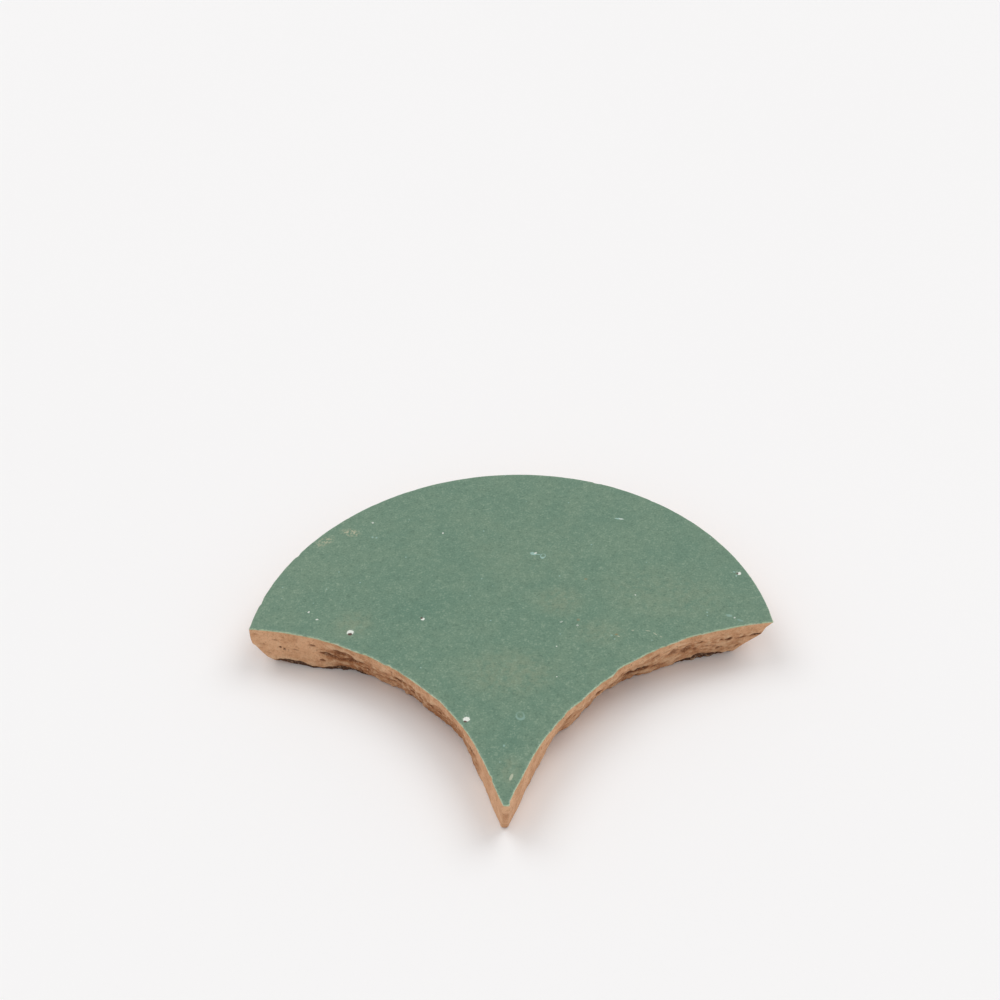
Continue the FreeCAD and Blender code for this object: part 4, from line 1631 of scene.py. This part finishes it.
@dataclass(frozen=True)
class FishScaleTile:
    """The whole tile as one closed piece: chiselled edge, glazed face and clay back."""
    low: np.ndarray
    high: np.ndarray
    crown_columns: int = 580
    face_rows: int = 60
    face_evenness: float = 0.8
    back_rows: int = 8
    back_evenness: float = 0.3
    # The depth down the side at which the face's waves have died out
    wave_fade: float = 4.0

    @property
    def outline(self) -> ScaleOutline:
        """The outline that fills the tile's box."""
        half = (self.high - self.low) / 2
        return ScaleOutline(half_width=half[0], half_length=half[1])

    def build(self) -> bpy.types.Object:
        """Joins the edge, the face and the back into one skin and writes it as a mesh.

        Returns:
            The piece, at the origin.
        """
        path = RimPath(self.outline, self.crown_columns)
        thickness = self.high[2] - self.low[2]
        side = ChiselledEdge(self.outline, path, thickness)
        face = GlazedFace(Sheet(path, self.face_rows, self.face_evenness), thickness)
        back = ClayBack(Sheet(path, self.back_rows, self.back_evenness))
        edge = side.build()
        waves = face.waves(edge.points) * (1 - ease(side.depths(), 0.0, self.wave_fade))[:, None]
        edge.points[..., 2] -= waves
        skins = (edge, face.build(edge), back.build(edge))
        LOG.info("skin worked out: %s points", [skin.rim.size for skin in skins])

        points = np.concatenate([skin.points.reshape(-1, 3) for skin in skins])
        cells = self.cells(edge, face.sheet, back.sheet)
        bare = {name: np.full(len(corners), "back" in name) for name, corners in cells.items()}
        bare["side"] = np.repeat(np.arange(len(edge.rim) - 1) >= side.first_clay_row, path.columns)
        places = BakeMap(path).places(points, cells, side.way_down())

        mesh = bpy.data.meshes.new("hand_cut_scale")
        self.write(mesh, points, list(cells.values()))
        finishes = np.concatenate(list(bare.values())).astype(np.int32)
        mesh.polygons.foreach_set("material_index", finishes)
        bake = mesh.uv_layers.new(name="OFBake")
        bake.uv.foreach_set("vector", places.astype(np.float32).ravel())
        for name in ("rim", "hollow", "stain_and_shade", "brown"):
            values = np.concatenate([getattr(skin, name).ravel() for skin in skins])
            trait = mesh.attributes.new(name, "FLOAT", "POINT")
            trait.data.foreach_set("value", values.astype(np.float32))
        tile = bpy.data.objects.new("hand_cut_scale", mesh)
        bpy.context.scene.collection.objects.link(tile)
        return tile

    @staticmethod
    def cells(edge: Skin, face: Sheet, back: Sheet) -> dict[str, np.ndarray]:
        """The corner numbers of all faces: four each, and three at a sheet's ends.

        Args:
            edge: the rim and side, whose points come first.
            face, back: the sheets, whose inner points follow in that order.
        Returns:
            Arrays, (faces, 3 or 4), by the part's name.
        """
        numbers = np.arange(edge.rim.size).reshape(edge.rim.shape)
        face_grid = face.indices(numbers[0], numbers.size)
        back_grid = back.indices(numbers[-1], face_grid.max() + 1)
        cells = {"side": quads(np.concatenate([numbers, numbers[:, :1]], axis=1)).reshape(-1, 4)}
        for name, grid in (("face", quads(face_grid)[..., ::-1]), ("back", quads(back_grid))):
            cells[name] = grid[:, 1:-1].reshape(-1, 4)
            cells[name + "_ends"] = np.concatenate([grid[:, 0, :3], grid[:, -1][:, [0, 1, 3]]])
        return cells

    @staticmethod
    def write(mesh: bpy.types.Mesh, points: np.ndarray, cells: list[np.ndarray]) -> None:
        """Fills a mesh with points in millimetres and with faces of three or four corners.

        Args:
            mesh: the empty mesh.
            points: places, (points, 3).
            cells: corner numbers, one array for each kind of face.
        """
        corners = np.concatenate([part.ravel() for part in cells]).astype(np.int32)
        sizes = np.concatenate([np.full(len(part), part.shape[1]) for part in cells])
        mesh.vertices.add(len(points))
        mesh.vertices.foreach_set("co", (points * MM).astype(np.float32).ravel())
        mesh.loops.add(len(corners))
        mesh.loops.foreach_set("vertex_index", corners)
        mesh.polygons.add(len(sizes))
        mesh.polygons.foreach_set("loop_start", (np.cumsum(sizes) - sizes).astype(np.int32))
        mesh.polygons.foreach_set("use_smooth", np.ones(len(sizes), bool))
        mesh.update(calc_edges=True)
        mesh.validate()

    def dress(self, tile: bpy.types.Object) -> None:
        """Gives the piece its two finishes and its place in the frame.

        Args:
            tile: the piece.
        """
        tile.data.materials.append(SeaGreenGlaze().dress())
        tile.data.materials.append(BareTerracotta().dress())
        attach(tile, "root")
        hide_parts(NODE)


@dataclass(frozen=True)
class PhotoCamera:
    """The photograph's camera: where the middle of the picture meets the face, and from where."""
    aim: tuple[float, float, float] = (-2.958, 42.752, 11.0)
    distance: float = 445.085
    elevation: float = 41.518
    azimuth: float = -2.875
    roll: float = -2.857
    lens: float = 65.026
    sensor: float = 36.0
    near: float = 10.0

    def build(self) -> bpy.types.Object:
        """Sets the camera up along its line of sight and turns it about that line.

        Returns:
            The camera.
        """
        turn, fall, roll = np.radians([self.azimuth, self.elevation, self.roll])
        sight = Vector((np.sin(turn) * np.cos(fall), np.cos(turn) * np.cos(fall), -np.sin(fall)))
        level = sight.cross(Vector((0, 0, 1))).normalized()
        right = level * np.cos(roll) + level.cross(sight) * np.sin(roll)
        axes = Matrix((right, right.cross(sight), -sight)).transposed()
        data = bpy.data.cameras.new("photo_camera")
        data.lens = self.lens
        data.sensor_width = self.sensor
        data.clip_start = self.near * MM
        camera = bpy.data.objects.new("photo_camera", data)
        stand = (Vector(self.aim) - self.distance * sight) * MM
        camera.matrix_world = Matrix.Translation(stand) @ axes.to_4x4()
        bpy.context.scene.collection.objects.link(camera)
        bpy.context.scene.camera = camera
        return camera


@dataclass(frozen=True)
class SoftStudio:
    """A white room that lights evenly from all round, and a wide soft lamp behind each side."""
    room_level: float = 0.62
    light: Colour = srgb(255, 255, 255)
    backdrop: Colour = srgb(244, 244, 243)
    lamp_spread: float = 40.0
    # Each lamp: its level, and the direction that it shines from
    lamps: tuple[tuple[float, tuple[float, float, float]], ...] = (
        (0.66, (-0.6, 0.5, 1.0)), (0.82, (0.6, 0.5, 1.0)))

    def build(self) -> None:
        """Adds the lamps and the room, which shows as a pale backdrop to the eye and in gloss."""
        for level, source in self.lamps:
            lamp = bpy.data.lights.new("wide_soft_lamp", "SUN")
            lamp.energy = level
            lamp.angle = np.radians(self.lamp_spread)
            holder = bpy.data.objects.new("wide_soft_lamp", lamp)
            holder.rotation_euler = Vector(source).to_track_quat("Z", "Y").to_euler()
            bpy.context.scene.collection.objects.link(holder)
        world = bpy.data.worlds.new("white_room")
        world.use_nodes = True
        bench = NodeBench(world.node_tree)
        rays = [bench.add("ShaderNodeLightPath", {}, {}, f"Is {kind} Ray")
                for kind in ("Camera", "Glossy", "Transmission")]
        lit, shown = (bench.add("ShaderNodeBackground", {}, {"Color": colour, "Strength": level})
                      for colour, level in ((self.light, self.room_level), (self.backdrop, 1.0)))
        seen = rays[0].most(rays[1]).most(rays[2])
        room = bench.add("ShaderNodeMixShader", {}, {0: seen, 1: lit, 2: shown})
        bench.fill(world.node_tree.nodes["World Output"], {"Surface": room})
        bpy.context.scene.world = world
        bpy.context.scene.view_settings.view_transform = "Standard"


def main() -> None:
    """Builds the tile, the table and the studio in order, and reports each."""
    logging.basicConfig(level=logging.INFO, format="%(name)s: %(message)s")
    low, high = (np.array(corner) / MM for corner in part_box(NODE))
    scale = FishScaleTile(low, high)
    tile = scale.build()
    scale.dress(tile)
    LOG.info("%s: %d faces", tile.name, len(tile.data.polygons))
    table = PaleTable().build()
    LOG.info("%s set", table.name)
    camera = PhotoCamera().build()
    LOG.info("%s set", camera.name)
    SoftStudio().build()
    LOG.info("studio set")


if __name__ == "__main__":
    main()
